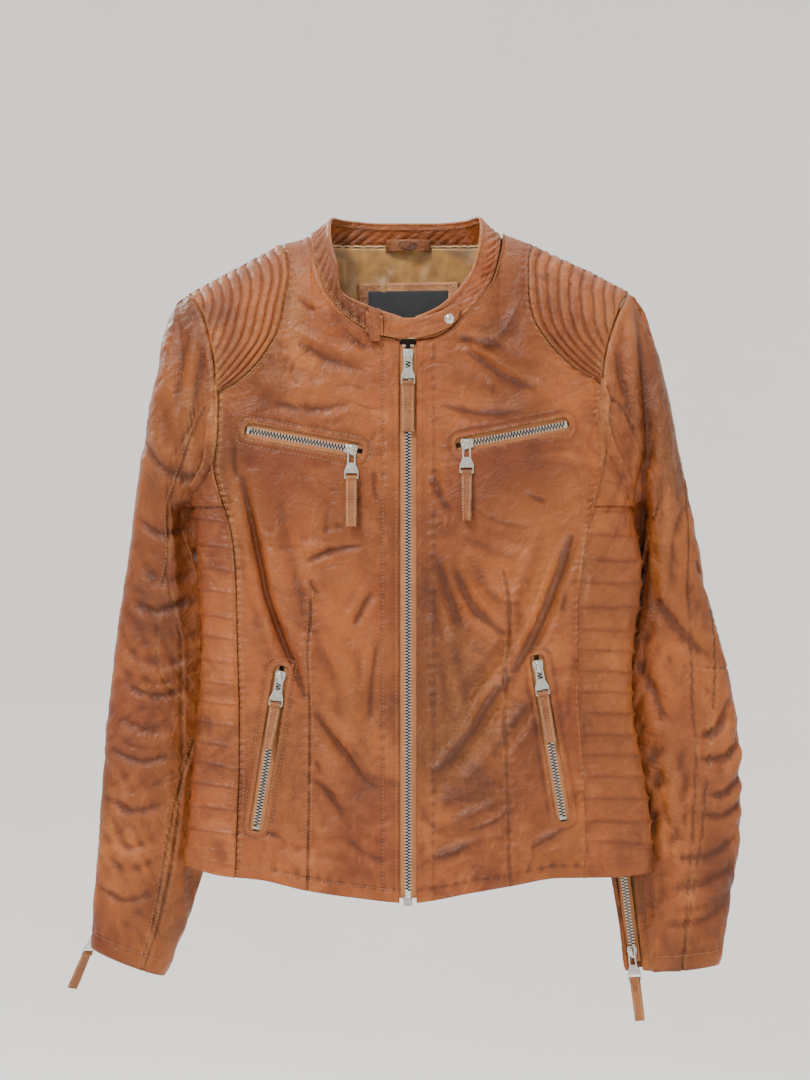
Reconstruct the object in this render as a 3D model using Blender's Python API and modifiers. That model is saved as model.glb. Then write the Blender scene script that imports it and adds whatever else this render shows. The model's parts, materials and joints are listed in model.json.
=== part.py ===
"""Leather riding jacket hanging by its neck loop: shell panels, quilted patches, collar with snap strap,
seven zips with sliders, pullers and leather tabs, two-piece sleeves and linings.  Metres, +Z up, front is -Y.
Left and right are as seen from the front.  The origin is at the hanger loop of the neck."""
import bpy, bmesh, math
import numpy as np
from mathutils import Vector, Matrix

# ---------------------------------------------------------------- driving dimensions
UNIT = 0.0009            # one drafting unit of the pattern grid, m
U0, V0 = 408.0, 236.0    # grid point of the hanger loop: u runs right, v runs down
LEATHER = 0.0012         # leather thickness
LINING = 0.0008
LINING_IN = 0.0085       # lining lies this far inside the leather
DEPTH_F, DEPTH_B = 0.048, 0.040   # half depths of the hanging body, front and back
SECT = 2.6               # superellipse power of the body section
SHOULDER_R = 0.130       # height over which the shoulders reach full depth
ZIP_GAP = 0.00675        # half width of a zip opening
SEAM = 0.45              # half gap of a seam, drafting units
SLEEVE_SWING = 40.0
PULL_MAX, TAB_MAX = 120.0, 60.0

def X(u): return (u - U0) * UNIT
def Z(v): return (V0 - v) * UNIT
def tab(x, pts):
    return float(np.interp(x, [p[0] for p in pts], [p[1] for p in pts]))

# body outline: (v, u) down each side, ridge (u, v) along the shoulders
SIDE_L = [(210,150),(345,150),(395,155),(434,166),(463,178),(497,190),(547,194),(601,197),(645,200),(708,196),(765,191),(819,187),(867,183),(905,181)]
SIDE_R = [(210,668),(345,668),(395,664),(434,655),(463,645),(499,634),(533,639),(565,644),(601,643),(628,638),(690,634),(720,636),(765,644),(801,650),(836,654),(905,657)]
RIDGE = [(140,372),(150,345),(160,325),(171,302),(185,291),(280,240),(301,234),(310,229),(330,170),(345,110),(470,110),(485,170),(499,225),(505,229),(533,241),(596,270),(632,289),(643,305),(652,330),(668,372)]
HEM = [(183,867),(222,876),(258,879),(308,890),(356,897),(408,902),(471,892),(511,885),(561,877),(614,877),(657,874)]

def depth(u, v, front):
    """y of the leather's outer face, at a grid point of the body"""
    l, r = tab(v, SIDE_L), tab(v, SIDE_R)
    c, w = (l + r) / 2, (r - l) / 2
    q = min(1.0, abs(u - c) / w)
    # the front is flat beside the main zip
    f = (1 - q ** SECT) ** (1 / SECT)
    t = min(1.0, max(0.0, (v - tab(u, RIDGE)) * UNIT / SHOULDER_R))
    T = math.sqrt(max(0.0, 1 - (1 - t) ** 2))
    return (-DEPTH_F if front else DEPTH_B) * f * T - 0.012 * q * q * min(1.0, t * 3)

def body(u, v, front=True):
    return (X(u), depth(u, v, front), Z(v))

# ---------------------------------------------------------------- scene and helpers
for o in list(bpy.data.objects):
    bpy.data.objects.remove(o, do_unlink=True)
for c in list(bpy.data.collections):
    bpy.data.collections.remove(c)
COL = bpy.data.collections.new("leather_riding_jacket")
CUT = bpy.data.collections.new("cutters")
for c in (COL, CUT):
    bpy.context.scene.collection.children.link(c)

MATS = {}
def material(name, rgb, rough, metal=0.0):
    m = bpy.data.materials.new(name)
    m.use_nodes = True
    b = m.node_tree.nodes["Principled BSDF"]
    b.inputs["Base Color"].default_value = (*rgb, 1)
    b.inputs["Roughness"].default_value = rough
    b.inputs["Metallic"].default_value = metal
    m.diffuse_color = (*rgb, 1)
    MATS[name] = m
PALETTE = {"leather": ((0.42, 0.16, 0.06), 0.45, 0.0), "nickel": ((0.62, 0.60, 0.56), 0.3, 1.0),
           "satin": ((0.33, 0.17, 0.045), 0.4, 0.0), "tape": ((0.35, 0.13, 0.05), 0.8, 0.0),
           "label": ((0.02, 0.022, 0.026), 0.6, 0.0), "patch": ((0.50, 0.25, 0.13), 0.5, 0.0)}

def finish(ob, kind, smooth=True):
    rgb, ro, me = PALETTE[kind]
    if ob.name + "_mat" not in MATS:
        material(ob.name + "_mat", rgb, ro, me)
    ob.data.materials.clear()
    ob.data.materials.append(MATS[ob.name + "_mat"])
    if smooth:
        ob.data.shade_smooth()
        ob.data.set_sharp_from_angle(angle=math.radians(40))
    if ob.name not in COL.objects:
        COL.objects.link(ob)
    return ob

def grid_mesh(name, rows, closed=False):
    """open surface through rows of points; rows run down, points run to the right, faces look out"""
    me = bpy.data.meshes.new(name)
    nv, nu = len(rows), len(rows[0])
    verts = [p for r in rows for p in r]
    faces = []
    for i in range(nv - 1):
        for j in range(nu if closed else nu - 1):
            k = (j + 1) % nu
            faces.append((i * nu + j, (i + 1) * nu + j, (i + 1) * nu + k, i * nu + k))
    me.from_pydata(verts, [], faces)
    me.update()
    return me

def shell(name, rows, kind, thick=LEATHER, closed=False, flip=False):
    """a sheet: open surface with Solidify, thickness going inwards"""
    me = grid_mesh(name, rows, closed)
    if flip:
        me.flip_normals()
    ob = bpy.data.objects.new(name, me)
    s = ob.modifiers.new("thickness", "SOLIDIFY")
    s.thickness, s.offset = thick, -1.0
    s.use_even_offset = False
    return finish(ob, kind)

def plate(name, outline, half, holes=()):
    """flat outline, extruded to twice half its thickness, as a mesh in its own XY plane"""
    cu = bpy.data.curves.new(name, "CURVE")
    cu.dimensions, cu.fill_mode, cu.extrude = "2D", "BOTH", half
    cu.resolution_u = 1
    for pts in (outline,) + tuple(holes):
        sp = cu.splines.new("POLY")
        sp.points.add(len(pts) - 1)
        for p, q in zip(sp.points, pts):
            p.co = (q[0], q[1], 0, 1)
        sp.use_cyclic_u = True
    tmp = bpy.data.objects.new(name + "_curve", cu)
    COL.objects.link(tmp)
    bpy.context.view_layer.update()
    dg = bpy.context.evaluated_depsgraph_get()
    me = bpy.data.meshes.new_from_object(tmp.evaluated_get(dg))
    bpy.data.objects.remove(tmp, do_unlink=True)
    bm = bmesh.new()
    bm.from_mesh(me)
    bmesh.ops.remove_doubles(bm, verts=bm.verts, dist=1e-6)
    bmesh.ops.recalc_face_normals(bm, faces=bm.faces)
    bm.to_mesh(me)
    bm.free()
    me.name = name
    return me

def box_mesh(name, lo, hi):
    me = bpy.data.meshes.new(name)
    bm = bmesh.new()
    bmesh.ops.create_cube(bm, size=1.0)
    for v in bm.verts:
        v.co = Vector([lo[i] + (v.co[i] + 0.5) * (hi[i] - lo[i]) for i in range(3)])
    bm.to_mesh(me)
    bm.free()
    return me

def place(name, me, matrix, kind, parent=None, smooth=False):
    me.transform(matrix)
    ob = bpy.data.objects.new(name, me)
    return finish(ob, kind, smooth)

def cutter(name, me, matrix):
    me.transform(matrix)
    ob = bpy.data.objects.new(name, me)
    CUT.objects.link(ob)
    ob.hide_render = True
    ob.display_type = "WIRE"
    return ob

def cut(ob, tool):
    b = ob.modifiers.new("opening", "BOOLEAN")
    b.operation, b.object, b.solver = "DIFFERENCE", tool, "EXACT"

def union(meshes, name):
    """one body out of overlapping simple meshes"""
    obs = []
    for k, me in enumerate(meshes):
        o = bpy.data.objects.new("%s_%d" % (name, k), me)
        COL.objects.link(o)
        obs.append(o)
    for o in obs[1:]:
        m = obs[0].modifiers.new("join", "BOOLEAN")
        m.operation, m.object, m.solver = "UNION", o, "EXACT"
    bpy.context.view_layer.update()
    dg = bpy.context.evaluated_depsgraph_get()
    me = bpy.data.meshes.new_from_object(obs[0].evaluated_get(dg))
    for o in obs:
        bpy.data.objects.remove(o, do_unlink=True)
    return me

# ---------------------------------------------------------------- body panels
SEAM_L = [(240,280),(256,286),(274,288),(300,284),(329,278),(349,267),(372,249),(386,231),(395,217),(434,216),(452,214),(463,212),(499,220),(512,224.5),(526,228.5),(547,232),(570,234),(592,235),(636,236),(720,238),(765,238),(819,236),(905,233)]
SEAM_R = [(241,533),(261,528),(291,528),(316,532),(343,548),(366,571),(388,601),(416,597),(444,605),(486,598),(511,591),(540,587),(576,582),(610,579),(690,579),(729,581),(783,585),(819,586),(905,584)]
ARM_L = [(291,185),(304,196),(324,205),(345,210),(363,214),(395,215.5),(434,216),(452,214),(463,212),(480,202),(497,190)]
ARM_R = [(289,632),(301,624),(315,618),(341,609),(363,604),(388,602),(416,598),(444,605),(470,618),(499,634)]
NECK_L = [(233,299),(243,303.5),(267,309.5),(298,324.5),(319,343.5),(336.5,371),(344.5,401)]
NECK_R = [(231,509),(240,508),(275,499.5),(298,486.5),(321,465.5),(341,438),(344.5,415)]
TOP_ROWS = [0, .0007, .0028, .0065, .0115, .018, .032, .05, .075, .1, .13, .147, .165, .2, .24, .28, .33, .39, .45, .52, .6, .68, .76, .84, .92, 1.0]

def hem(u, up=0.0):
    return tab(u, HEM) - up

def front_panel(name, left):
    rows = []
    for t in TOP_ROWS:
        if left:
            va, vb = 240.3 + (hem(234) - 240.3) * t, 234 + (hem(400) - 234) * t
            ua, ub = tab(va, SEAM_L) + 2 * SEAM, tab(vb, NECK_L) - 0.6 if vb < 344.5 else 400.5
            if 395 < va < 463: ua = tab(va, ARM_L) + 2 * SEAM
        else:
            va, vb = 230.5 + (hem(415) - 230.5) * t, 241.3 + (hem(584) - 241.3) * t
            ua, ub = tab(va, NECK_R) + 0.6 if va < 344.5 else 415.5, tab(vb, SEAM_R) - 2 * SEAM
            if 388 < vb < 444: ub = tab(vb, ARM_R) - 2 * SEAM
        n = 9
        row = []
        for j in range(n):
            s = j / (n - 1)
            u, v = ua + (ub - ua) * s, va + (vb - va) * s
            v = max(v, tab(u, RIDGE) + 0.25) if t < 0.001 else v
            row.append(body(u, v, True))
        rows.append(row)
    return shell(name, rows, "leather")

def side_rows(left):
    """side panel below the underarm only, clear of the armhole"""
    rows = []
    v_top = 500 if left else 503
    for v in [v_top, 512, 530, 552, 580, 615, 650, 690, 730, 770, 810, 845, 999]:
        vv = v if v < 999 else hem(200 if left else 640)
        l, r = tab(vv, SIDE_L), tab(vv, SIDE_R)
        c, w = (l + r) / 2, (r - l) / 2
        e = -1 if left else 1
        sm = tab(vv, SEAM_L if left else SEAM_R)
        qf, qb = (sm + e * 1.0 - c) / w, (sm - e * 14 - c) / w
        pts = [(qf + (e - qf) * math.sin(j / 6 * math.pi / 2), True) for j in range(7)]
        pts += [(e + (qb - e) * (1 - math.cos(j / 5 * math.pi / 2)), False) for j in range(1, 6)]
        row = []
        for q, fr in pts:
            u = c + w * q
            vz = hem(u) if v == 999 else vv
            row.append(body(u, vz, fr))
        if left:
            row.reverse()
        rows.append(row)
    return rows

def shoulder_patch(name, left):
    """quilted patch: from its tip on the front armhole up over the shoulder ridge and down the back"""
    arm, inner = (ARM_L, SEAM_L) if left else (ARM_R, SEAM_R)
    tip = 392 if left else 385
    top_a, top_i = (291.6, 241) if left else (289.6, 242)
    ts = [1, .86, .72, .58, .45, .33, .23, .15, .09, .045, .015]
    rows = []
    def one(t, front):
        va, vi = top_a + (tip - top_a) * t, top_i + (tip - top_i) * t
        ua, ui = tab(va, arm), tab(vi, inner)
        if left:
            ua, ui = ua + 1.0, ui - 2 * SEAM
            if ui < ua + 3: ui = ua + 3
        else:
            ua, ui = ua - 1.0, ui + 2 * SEAM
            if ui > ua - 3: ui = ua - 3
        row = []
        for j in range(6):
            s = j / 5
            u, v = (ua + (ui - ua) * s, va + (vi - va) * s) if left else (ui + (ua - ui) * s, vi + (va - vi) * s)
            if not front and t == 0:
                v = tab(u, RIDGE)
            v = max(v, tab(u, RIDGE))
            row.append(body(u, v, front))
        return row
    for t in ts:
        rows.append(one(t, True))
    rows.append(one(0, False))
    for t in reversed(ts):
        rows.append(one(t, False))
    rows.reverse()          # rows run from the back, over the ridge, to the front tip
    return shell(name, rows, "leather")

def back_edge(t, left):
    """grid point of the back panel's side edge at fraction t of its height"""
    u = 235.0 if left else 582.0
    v = 400.0
    for _ in range(12):
        v0 = tab(u, RIDGE) + 0.3
        v = v0 + (hem(u) - v0) * t
        if left:
            e = tab(v, SEAM_L) + (5.5 if v < 396 else 1.5)
            if 392 < v < 463: e = 216.5 + 1.5
            if v >= 463: e = max(218, tab(v, SEAM_L) + 15.5) if v > 480 else 218 + (v - 463) * 1.1
        else:
            e = tab(v, SEAM_R) - (3.5 if v < 390 else 1.5)
            if 385 < v < 463: e = 598 - 1.5
            if v >= 463: e = tab(v, SEAM_R) - 15.5 if v > 480 else 596 - (v - 463) * 0.6
        u = 0.5 * u + 0.5 * e
    return u, v

def back_panel(name):
    rows = []
    for t in TOP_ROWS:
        (ul, va), (ur, vb) = back_edge(t, True), back_edge(t, False)
        row = []
        n = 19
        for j in range(n):
            u = ul + (ur - ul) * j / (n - 1)
            # the neck is cut down to the collar seam
            v0 = tab(u, RIDGE) + 0.3 if not 304 < u < 506 else 241.8
            row.append(body(u, v0 + (hem(u) - v0) * t, False))
        row.reverse()
        rows.append(row)
    return shell(name, rows, "leather")

# ---------------------------------------------------------------- sleeves
# rows from armhole to cuff: (s, outer u, v, inner u, v, half depth mm, centre y mm, skew mm)
SL_L = [(0.00,185,291,190,497,30,0,0),(0.06,171,302,176,512,34,1,2),(0.13,160,335,173,534,38,4,6),(0.21,150,380,183,562,39,9,10),
        (0.30,139,440,204,594,38,16,14),(0.40,131,495,221,626,36,20,16),(0.50,122,560,230,662,34,23,16),(0.60,112,625,227,700,32,25,14),
        (0.70,104,690,222,742,31,24,12),(0.80,98,760,214,796,29,21,8),(0.88,93,835,204,852,27,17,5),(0.95,87,905,188,915,25,13,3),(1.0,84,955,160,985,23,11,2)]
SL_R = [(0.00,632,289,634,499,30,0,0),(0.06,646,304,648,512,34,1,2),(0.13,658,345,654,534,38,4,6),(0.21,671,395,652,562,39,9,10),
        (0.30,685,452,629,594,38,17,14),(0.40,697,512,604,626,36,20,16),(0.50,709,571,593,662,34,23,16),(0.60,723,630,596,700,32,25,14),
        (0.70,738,690,600,742,31,24,12),(0.80,749,762,606,796,29,21,8),(0.88,747,835,613,850,27,17,5),(0.95,738,905,622,912,25,13,3),(1.0,727,972,632,982,23,11,2)]

def sleeve_point(table, left, s, a, inset=0.0):
    """a: 0 outer fold, pi/2 front, pi inner fold, 3pi/2 back; inset in metres towards the middle"""
    g = [np.interp(s, [r[0] for r in table], [r[k] for r in table]) for k in range(1, 8)]
    ou, ov, iu, iv, hd, yc, sk = g
    hd, yc, sk = hd / 1000, yc / 1000, sk / 1000
    cu, cv, au, av = (ou + iu) / 2, (ov + iv) / 2, (ou - iu) / 2, (ov - iv) / 2
    L = math.hypot(au, av) * UNIT
    ca, sa = math.cos(a), math.sin(a)
    k = 1 - inset / L
    bulge = (28 if left else -31) * max(0.0, 1 - s / 0.2) ** 1.5
    u = cu + au * ca * k + bulge * abs(sa) ** (1.3 if left else 2.0)
    v = cv + av * ca * k
    y_t = yc - sk * ca - (hd - inset) * math.copysign(abs(sa) ** 0.85, sa)
    y_b = depth(u, v, sa >= 0)
    if inset:
        y_b *= max(0.0, 1 - inset / 0.03)
    w = min(1.0, s / 0.22)
    w = w * w * (3 - 2 * w)
    y = y_b * (1 - w) + y_t * w
    # where it hangs behind the body, the sleeve stays behind the back panel
    l, r = tab(v, SIDE_L), tab(v, SIDE_R)
    if v > 500 and l - 22 < u < r + 22:
        q = min(1.0, abs(u - (l + r) / 2) / ((r - l) / 2))
        yb = depth(u, v, False) + 0.0066 + inset
        m = y - yb
        e = 0.004
        y = yb + (m + math.sqrt(m * m + e * e)) / 2
        if q >= 1.0:
            f = (abs(u - (l + r) / 2) - (r - l) / 2) / 22
            f = f * f
            y = y * (1 - f) + (yb + m) * f
    return (X(u), y, Z(v))

S_ROWS = [0.006, 0.03, 0.06, 0.095, 0.13, 0.17, 0.21, 0.25, 0.3, 0.35, 0.4, 0.45, 0.5, 0.55, 0.6, 0.65, 0.7, 0.75, 0.8, 0.832, 0.846, 0.859, 0.9, 0.95, 1.0]
# seam angles (degrees) along the sleeve: first and second seam
FS_L = [(0,90),(0.13,90),(0.3,78),(0.45,74),(0.55,95),(0.8,112),(1,118)]
BS_L = [(0,-90),(0.3,-60),(0.7,-32),(0.78,-27),(1,-27)]
FS_R = [(0,90),(0.4,92),(0.55,105),(0.75,146),(1,146)]
BS_R = [(0,-85),(0.2,-40),(0.36,20),(0.5,46),(0.7,67),(1,82)]
CUFF_TOP = 0.857         # the cuff zip's slit starts here

def sleeve_piece(name, left, a0, a1, zip0, zip1, n, long_way=False):
    """a0, a1: seam tables; zip0, zip1: True where the cuff zip's slit widens that edge"""
    table = SL_L if left else SL_R
    rows = []
    for s in S_ROWS:
        b0, b1 = math.radians(tab(s, a0)), math.radians(tab(s, a1))
        if long_way:
            b1 += 2 * math.pi
        def radius(b):
            p, q = sleeve_point(table, left, s, b + .05), sleeve_point(table, left, s, b - .05)
            return max(0.012, math.dist(p, q) / 0.1)
        open_ = min(1.0, max(0.0, (s - CUFF_TOP + 0.01) / 0.01))
        gap = 0.0075 if s < 0.34 else 0.0016 if s < 0.7 else 0.0006
        g0 = (gap + (0.0080 * open_ if zip0 else 0)) / radius(b0)
        g1 = (gap + (0.0080 * open_ if zip1 else 0)) / radius(b1)
        b0, b1 = b0 + g0, b1 - g1
        rows.append([sleeve_point(table, left, s, b0 + (b1 - b0) * j / n) for j in range(n + 1)])
    if not left:
        rows = [r[::-1] for r in rows]
    # angles run outer, front, inner: to the right on the left sleeve
    ob = shell(name, rows, "leather")
    return ob

def sleeve_lining(name, left):
    table = SL_L if left else SL_R
    rows = []
    for s in [0.54, 0.6, 0.65, 0.7, 0.74]:
        rows.append([sleeve_point(table, left, s, 2 * math.pi * j / 20, 0.0042) for j in range(20)])
    if not left:
        rows = [r[::-1] for r in rows]
    return shell(name, rows, "satin", LINING, closed=True)

# ---------------------------------------------------------------- collar
COL_LOW = [(401,341),(376,335),(348,319),(329,298),(314,267),(309.5,243),(309,231),(320,238),(345,239),(376,239),(408,239),(441,239),(471,239),(492,238),(503,231),(502.5,243),(495,275),(482,298),(461,321),(434,339),(415,341)]
COL_TOP = [(401,317),(369,306),(341,290),(338,267),(332,243),(330,226),(331,212),(334,210),(352,211),(379,213),(408,213),(436,213),(463,211),(477,209),(481,211),(481,226),(479,243),(472,269),(449,298),(434,309),(415,317)]
def collar_y(k, low):
    u, v = COL_LOW[k]
    if k in (6, 14): return 0.0
    front = k < 6 or k > 14
    y = depth(u, v, front)
    if k in (5, 15): y = -0.020
    if k in (4, 16): y = -0.034
    if k in (7, 13): y = 0.018
    return y
def collar_rows(inset=0.0, low_trim=0.0, n=3):
    rows = []
    for i in range(n, -1, -1):
        t = i / n
        row = []
        for k in range(len(COL_LOW)):
            (u0, v0), (u1, v1) = COL_LOW[k], COL_TOP[k]
            yl = collar_y(k, True)
            yt = yl * (0.97 if yl < 0 else 0.86)
            u, v, y = u0 + (u1 - u0) * t, v0 + (v1 - v0) * t, yl + (yt - yl) * t
            cx = 408
            f = 1 - inset / (abs(u - cx) * UNIT + 0.02)
            row.append((X(cx + (u - cx) * f), y - math.copysign(inset, y) * min(1, abs(y) / 0.02), Z(v)))
        rows.append(row)
    return rows

# ---------------------------------------------------------------- build the cloth parts
front_l = front_panel("front_panel_l", True)
front_r = front_panel("front_panel_r", False)
back_panel("back_panel")
shell("side_panel_l", side_rows(True), "leather")
shell("side_panel_r", side_rows(False), "leather")
shoulder_patch("shoulder_patch_l", True)
shoulder_patch("shoulder_patch_r", False)
cr = collar_rows()
shell("collar_band", [r[::-1] for r in cr], "leather", 0.0022)

def lining_rows():
    rows = []
    vs = [0, .01, .04, .08, .13, .2, .28, .36, .45, .55, .65, .75, .85, .93, 1.0]
    for t in vs:
        row = []
        # from the right front edge round the back to the left front edge
        N = 9
        path = [(428 + (600 - 428) * j / N, True) for j in range(N)] + [None] + [(600 - (600 - 222) * j / 14, False) for j in range(15)] + [None] + [(222 + (388 - 222) * j / N, True) for j in range(1, N + 1)]
        for e in path:
            row.append(e)
        rows.append((t, row))
    out = []
    for t, row in rows:
        pts = []
        n = len(row)
        for j, e in enumerate(row):
            if e is None:
                side_r = j < n / 2
                v = 306 + (862 - 306) * t
                if side_r:
                    u = min(tab(v, SIDE_R), tab(v, ARM_R) if v < 499 else 999) - LINING_IN / UNIT - 4
                else:
                    u = max(tab(v, SIDE_L), tab(v, ARM_L) if v < 497 else 0) + LINING_IN / UNIT + 4
                pts.append((X(u), -0.010, Z(v)))
                continue
            u, fr = e
            lo = tab(u, RIDGE) + LINING_IN / UNIT + 3
            if 296 < u < 518:
                lo = 246 if not fr else tab(u, [(296,262),(318,306),(346,334),(374,349),(408,356),(434,354),(461,337),(482,314),(518,262)])
            v = lo + 2 + (862 - lo - 2) * t
            if v < 500:
                u = max(u, tab(v, ARM_L) + 13)
                u = min(u, tab(v, ARM_R) - 13)
            else:
                u = max(u, tab(v, SEAM_L) - 20)
                u = min(u, tab(v, SEAM_R) + 20)
            y = depth(u, v, fr)
            y = y + LINING_IN if fr else y - LINING_IN
            y = min(y, -0.003) if fr else max(y, 0.002)
            pts.append((X(u), y, Z(v)))
        out.append(pts)
    return out
shell("body_lining", lining_rows(), "satin", LINING)

FRONT = Matrix(((1, 0, 0, 0), (0, 0, -1, 0), (0, 1, 0, 0), (0, 0, 0, 1)))   # plate XY to world XZ, facing -Y
def neck_plate(name, corners, half, y, kind):
    me = plate(name, [(X(u), Z(v)) for u, v in corners], half)
    place(name, me, Matrix.Translation((0, y, 0)) @ FRONT, kind)
YL = min(depth(u, 300, False) for u in (357, 408, 460)) - LINING_IN - LINING
neck_plate("label_patch", [(357, 276), (460, 274), (461, 328), (358, 330)], 0.0005, YL - 0.0012, "patch")
neck_plate("label", [(367, 284), (449, 283), (450, 322), (368, 323)], 0.0003, YL - 0.0023, "label")

# hanger loop: a strip whose middle stands off the collar
loop_rows = []
for v in (231, 237.5, 244):
    row = []
    for j in range(13):
        s = j / 12
        u = 385 + 47 * s
        y = 0.0300 - 0.0105 * math.sin(math.pi * s) ** 0.6
        row.append((X(u), y, Z(v)))
    loop_rows.append(row)
shell("hanger_loop", loop_rows, "leather", 0.0014)

# collar strap with its keeper and snap
STRAP_Y = -0.0520
def strap_outline(u0, u1, round_end):
    top, bot = [], []
    n = 8
    for j in range(n + 1):
        u = u0 + (u1 - u0) * j / n
        c = 329 - 10 * ((u - 409) / 38) ** 2 * (1 if u > 409 else 0.5)
        h = 10.0
        if round_end and u > u1 - h:
            h = math.sqrt(max(0.0, 1 - ((u - (u1 - h)) / h) ** 2)) * h + 0.6
        top.append((X(u), Z(c - h)))
        bot.append((X(u), Z(c + h)))
    return top + bot[::-1]
place("strap_base", plate("strap_base", strap_outline(366, 383.4, False), 0.0008), Matrix.Translation((0, STRAP_Y, 0)) @ FRONT, "leather")
place("strap_tab", plate("strap_tab", strap_outline(384.2, 459.5, True), 0.0008), Matrix.Translation((0, STRAP_Y, 0)) @ FRONT, "leather")
place("strap_keeper", plate("strap_keeper", [(-0.0150, 0.0021), (0.0150, 0.0021), (0.0150, -0.0021), (-0.0150, -0.0021)], 0.0050,
      holes=([(-0.0128, 0.0012), (0.0128, 0.0012), (0.0128, -0.0012), (-0.0128, -0.0012)],)),
      Matrix.Translation((X(374.5), STRAP_Y, Z(326))) @ Matrix(((0, 0, 1, 0), (0, -1, 0, 0), (1, 0, 0, 0), (0, 0, 0, 1))), "leather")

def turned(name, profile, matrix, kind, steps=20):
    """profile of (radius, height) from the top of the axis down its outer side, closed by Screw"""
    me = bpy.data.meshes.new(name)
    me.from_pydata([(r, 0, h) for r, h in profile], [(k, k + 1) for k in range(len(profile) - 1)], [])
    ob = bpy.data.objects.new(name, me)
    COL.objects.link(ob)
    m = ob.modifiers.new("turn", "SCREW")
    m.steps = m.render_steps = steps
    m.use_merge_vertices, m.merge_threshold = True, 1e-6
    bpy.context.view_layer.update()
    out = bpy.data.meshes.new_from_object(ob.evaluated_get(bpy.context.evaluated_depsgraph_get()))
    bpy.data.objects.remove(ob, do_unlink=True)
    bm = bmesh.new(); bm.from_mesh(out)
    bmesh.ops.recalc_face_normals(bm, faces=bm.faces)
    bm.to_mesh(out); bm.free()
    return place(name, out, matrix, kind, smooth=True)
SNAP = (X(449), Z(320))
turned("snap_cap", [(0, 0.0022), (0.0020, 0.0021), (0.0036, 0.0016), (0.0045, 0.0008), (0.0046, 0.0003), (0, 0.0003)],
       Matrix.Translation((SNAP[0], STRAP_Y - 0.0008, SNAP[1])) @ FRONT, "nickel")
turned("snap_stud", [(0, 0.0009), (0.0030, 0.0009), (0.0034, 0.0001), (0, 0.0001)],
       Matrix.Translation((SNAP[0], STRAP_Y + 0.0022, SNAP[1])) @ FRONT, "nickel")

# ---------------------------------------------------------------- zips
# a zip's own frame: +x across, -y down its length, +z out of the leather; the outer leather face is z = 0
def slider_mesh(turn=0.0):
    body_top = plate("a", [(-.0032,0),(.0032,0),(.0048,-.0018),(.0048,-.0042),(.0040,-.0075),(.0036,-.0110),(-.0036,-.0110),(-.0040,-.0075),(-.0048,-.0042),(-.0048,-.0018)], 0.00055)
    body_top.transform(Matrix.Translation((0, 0, -0.00025)))
    back = plate("b", [(-.0032,0),(.0032,0),(.0048,-.0018),(.0048,-.0042),(.0036,-.0110),(-.0036,-.0110),(-.0048,-.0042),(-.0048,-.0018)], 0.0006)
    back.transform(Matrix.Translation((0, 0, -0.0042)))
    web = box_mesh("c", (-.00035, -.0030, -.0044), (.00035, -.0002, -.0002))
    bail = plate("d", [(.0010,0),(.0010,.0026),(.0018,.0034),(.0082,.0034),(.0090,.0026),(.0090,0),(.0078,0),(.0078,.0021),(.0074,.0025),(.0026,.0025),(.0022,.0021),(.0022,0)], 0.0014)
    # profile plane (length, out) to the zip frame
    bail.transform(Matrix(((0, 0, 1, 0), (-1, 0, 0, 0), (0, 1, 0, 0), (0, 0, 0, 1))))
    bm = bmesh.new(); bm.from_mesh(bail)
    bmesh.ops.recalc_face_normals(bm, faces=bm.faces); bm.to_mesh(bail); bm.free()
    # the bail stands in line with the hanging puller
    mid = Matrix.Translation((0, -.0050, 0))
    bail.transform(mid @ Matrix.Rotation(turn, 4, "Z") @ mid.inverted())
    return union([body_top, web, back, bail], "slider")
BAR = (-0.0060, 0.0014)           # puller bar under the bail: y, z in the zip frame
LOOP_BAR = 0.0247                 # tab bar below the puller bar
def puller_mesh():
    o = [(-.0030,.0006),(.0030,.0006),(.0036,-.0010),(.0040,-.0120),(.0062,-.0175),(.0064,-.0256),(-.0064,-.0256),(-.0062,-.0175),(-.0040,-.0120),(-.0036,-.0010)]
    win = [(-.0020,-.0006),(.0020,-.0006),(.0023,-.0110),(-.0023,-.0110)]
    slot = [(-.0053,-.0205),(.0053,-.0205),(.0053,-.0238),(-.0053,-.0238)]
    return plate("puller", o, 0.0006, holes=(win, slot))
def tab_mesh(length, width):
    """leather strip folded round the puller's lower bar"""
    n = 10
    r0, r1 = 0.00145, 0.00245
    outer, inner = [], []
    a0, a1 = -math.pi / 2 + 0.50, -math.pi / 2 - 0.50 + 2 * math.pi
    prof = []
    for k in range(n + 1):
        a = a0 + (a1 - a0) * k / n
        prof.append((r1 * math.cos(a), r1 * math.sin(a)))
    prof += [(-0.0011, -length), (0.0011, -length)]
    hole = [(r0 * math.cos(2 * math.pi * k / 10), r0 * math.sin(2 * math.pi * k / 10)) for k in range(10)]
    me = plate("tab", prof, width / 2, holes=(hole,))
    # profile plane (out, length) to the zip frame
    me.transform(Matrix(((0, 0, 1, 0), (0, 1, 0, 0), (-1, 0, 0, 0), (0, 0, 0, 1))))
    bm = bmesh.new(); bm.from_mesh(me)
    bmesh.ops.recalc_face_normals(bm, faces=bm.faces); bm.to_mesh(me); bm.free()
    return me
SLIDER, PULLER = slider_mesh(), puller_mesh()

def zip_frame(p0, p1, normal):
    """frame with its origin at p0 and -y towards p1"""
    y = (Vector(p0) - Vector(p1)).normalized()
    n = Vector(normal)
    n = (n - y * n.dot(y)).normalized()
    x = y.cross(n).normalized()
    return Matrix(((x.x, y.x, n.x, p0[0]), (x.y, y.y, n.y, p0[1]), (x.z, y.z, n.z, p0[2]), (0, 0, 0, 1)))

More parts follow.
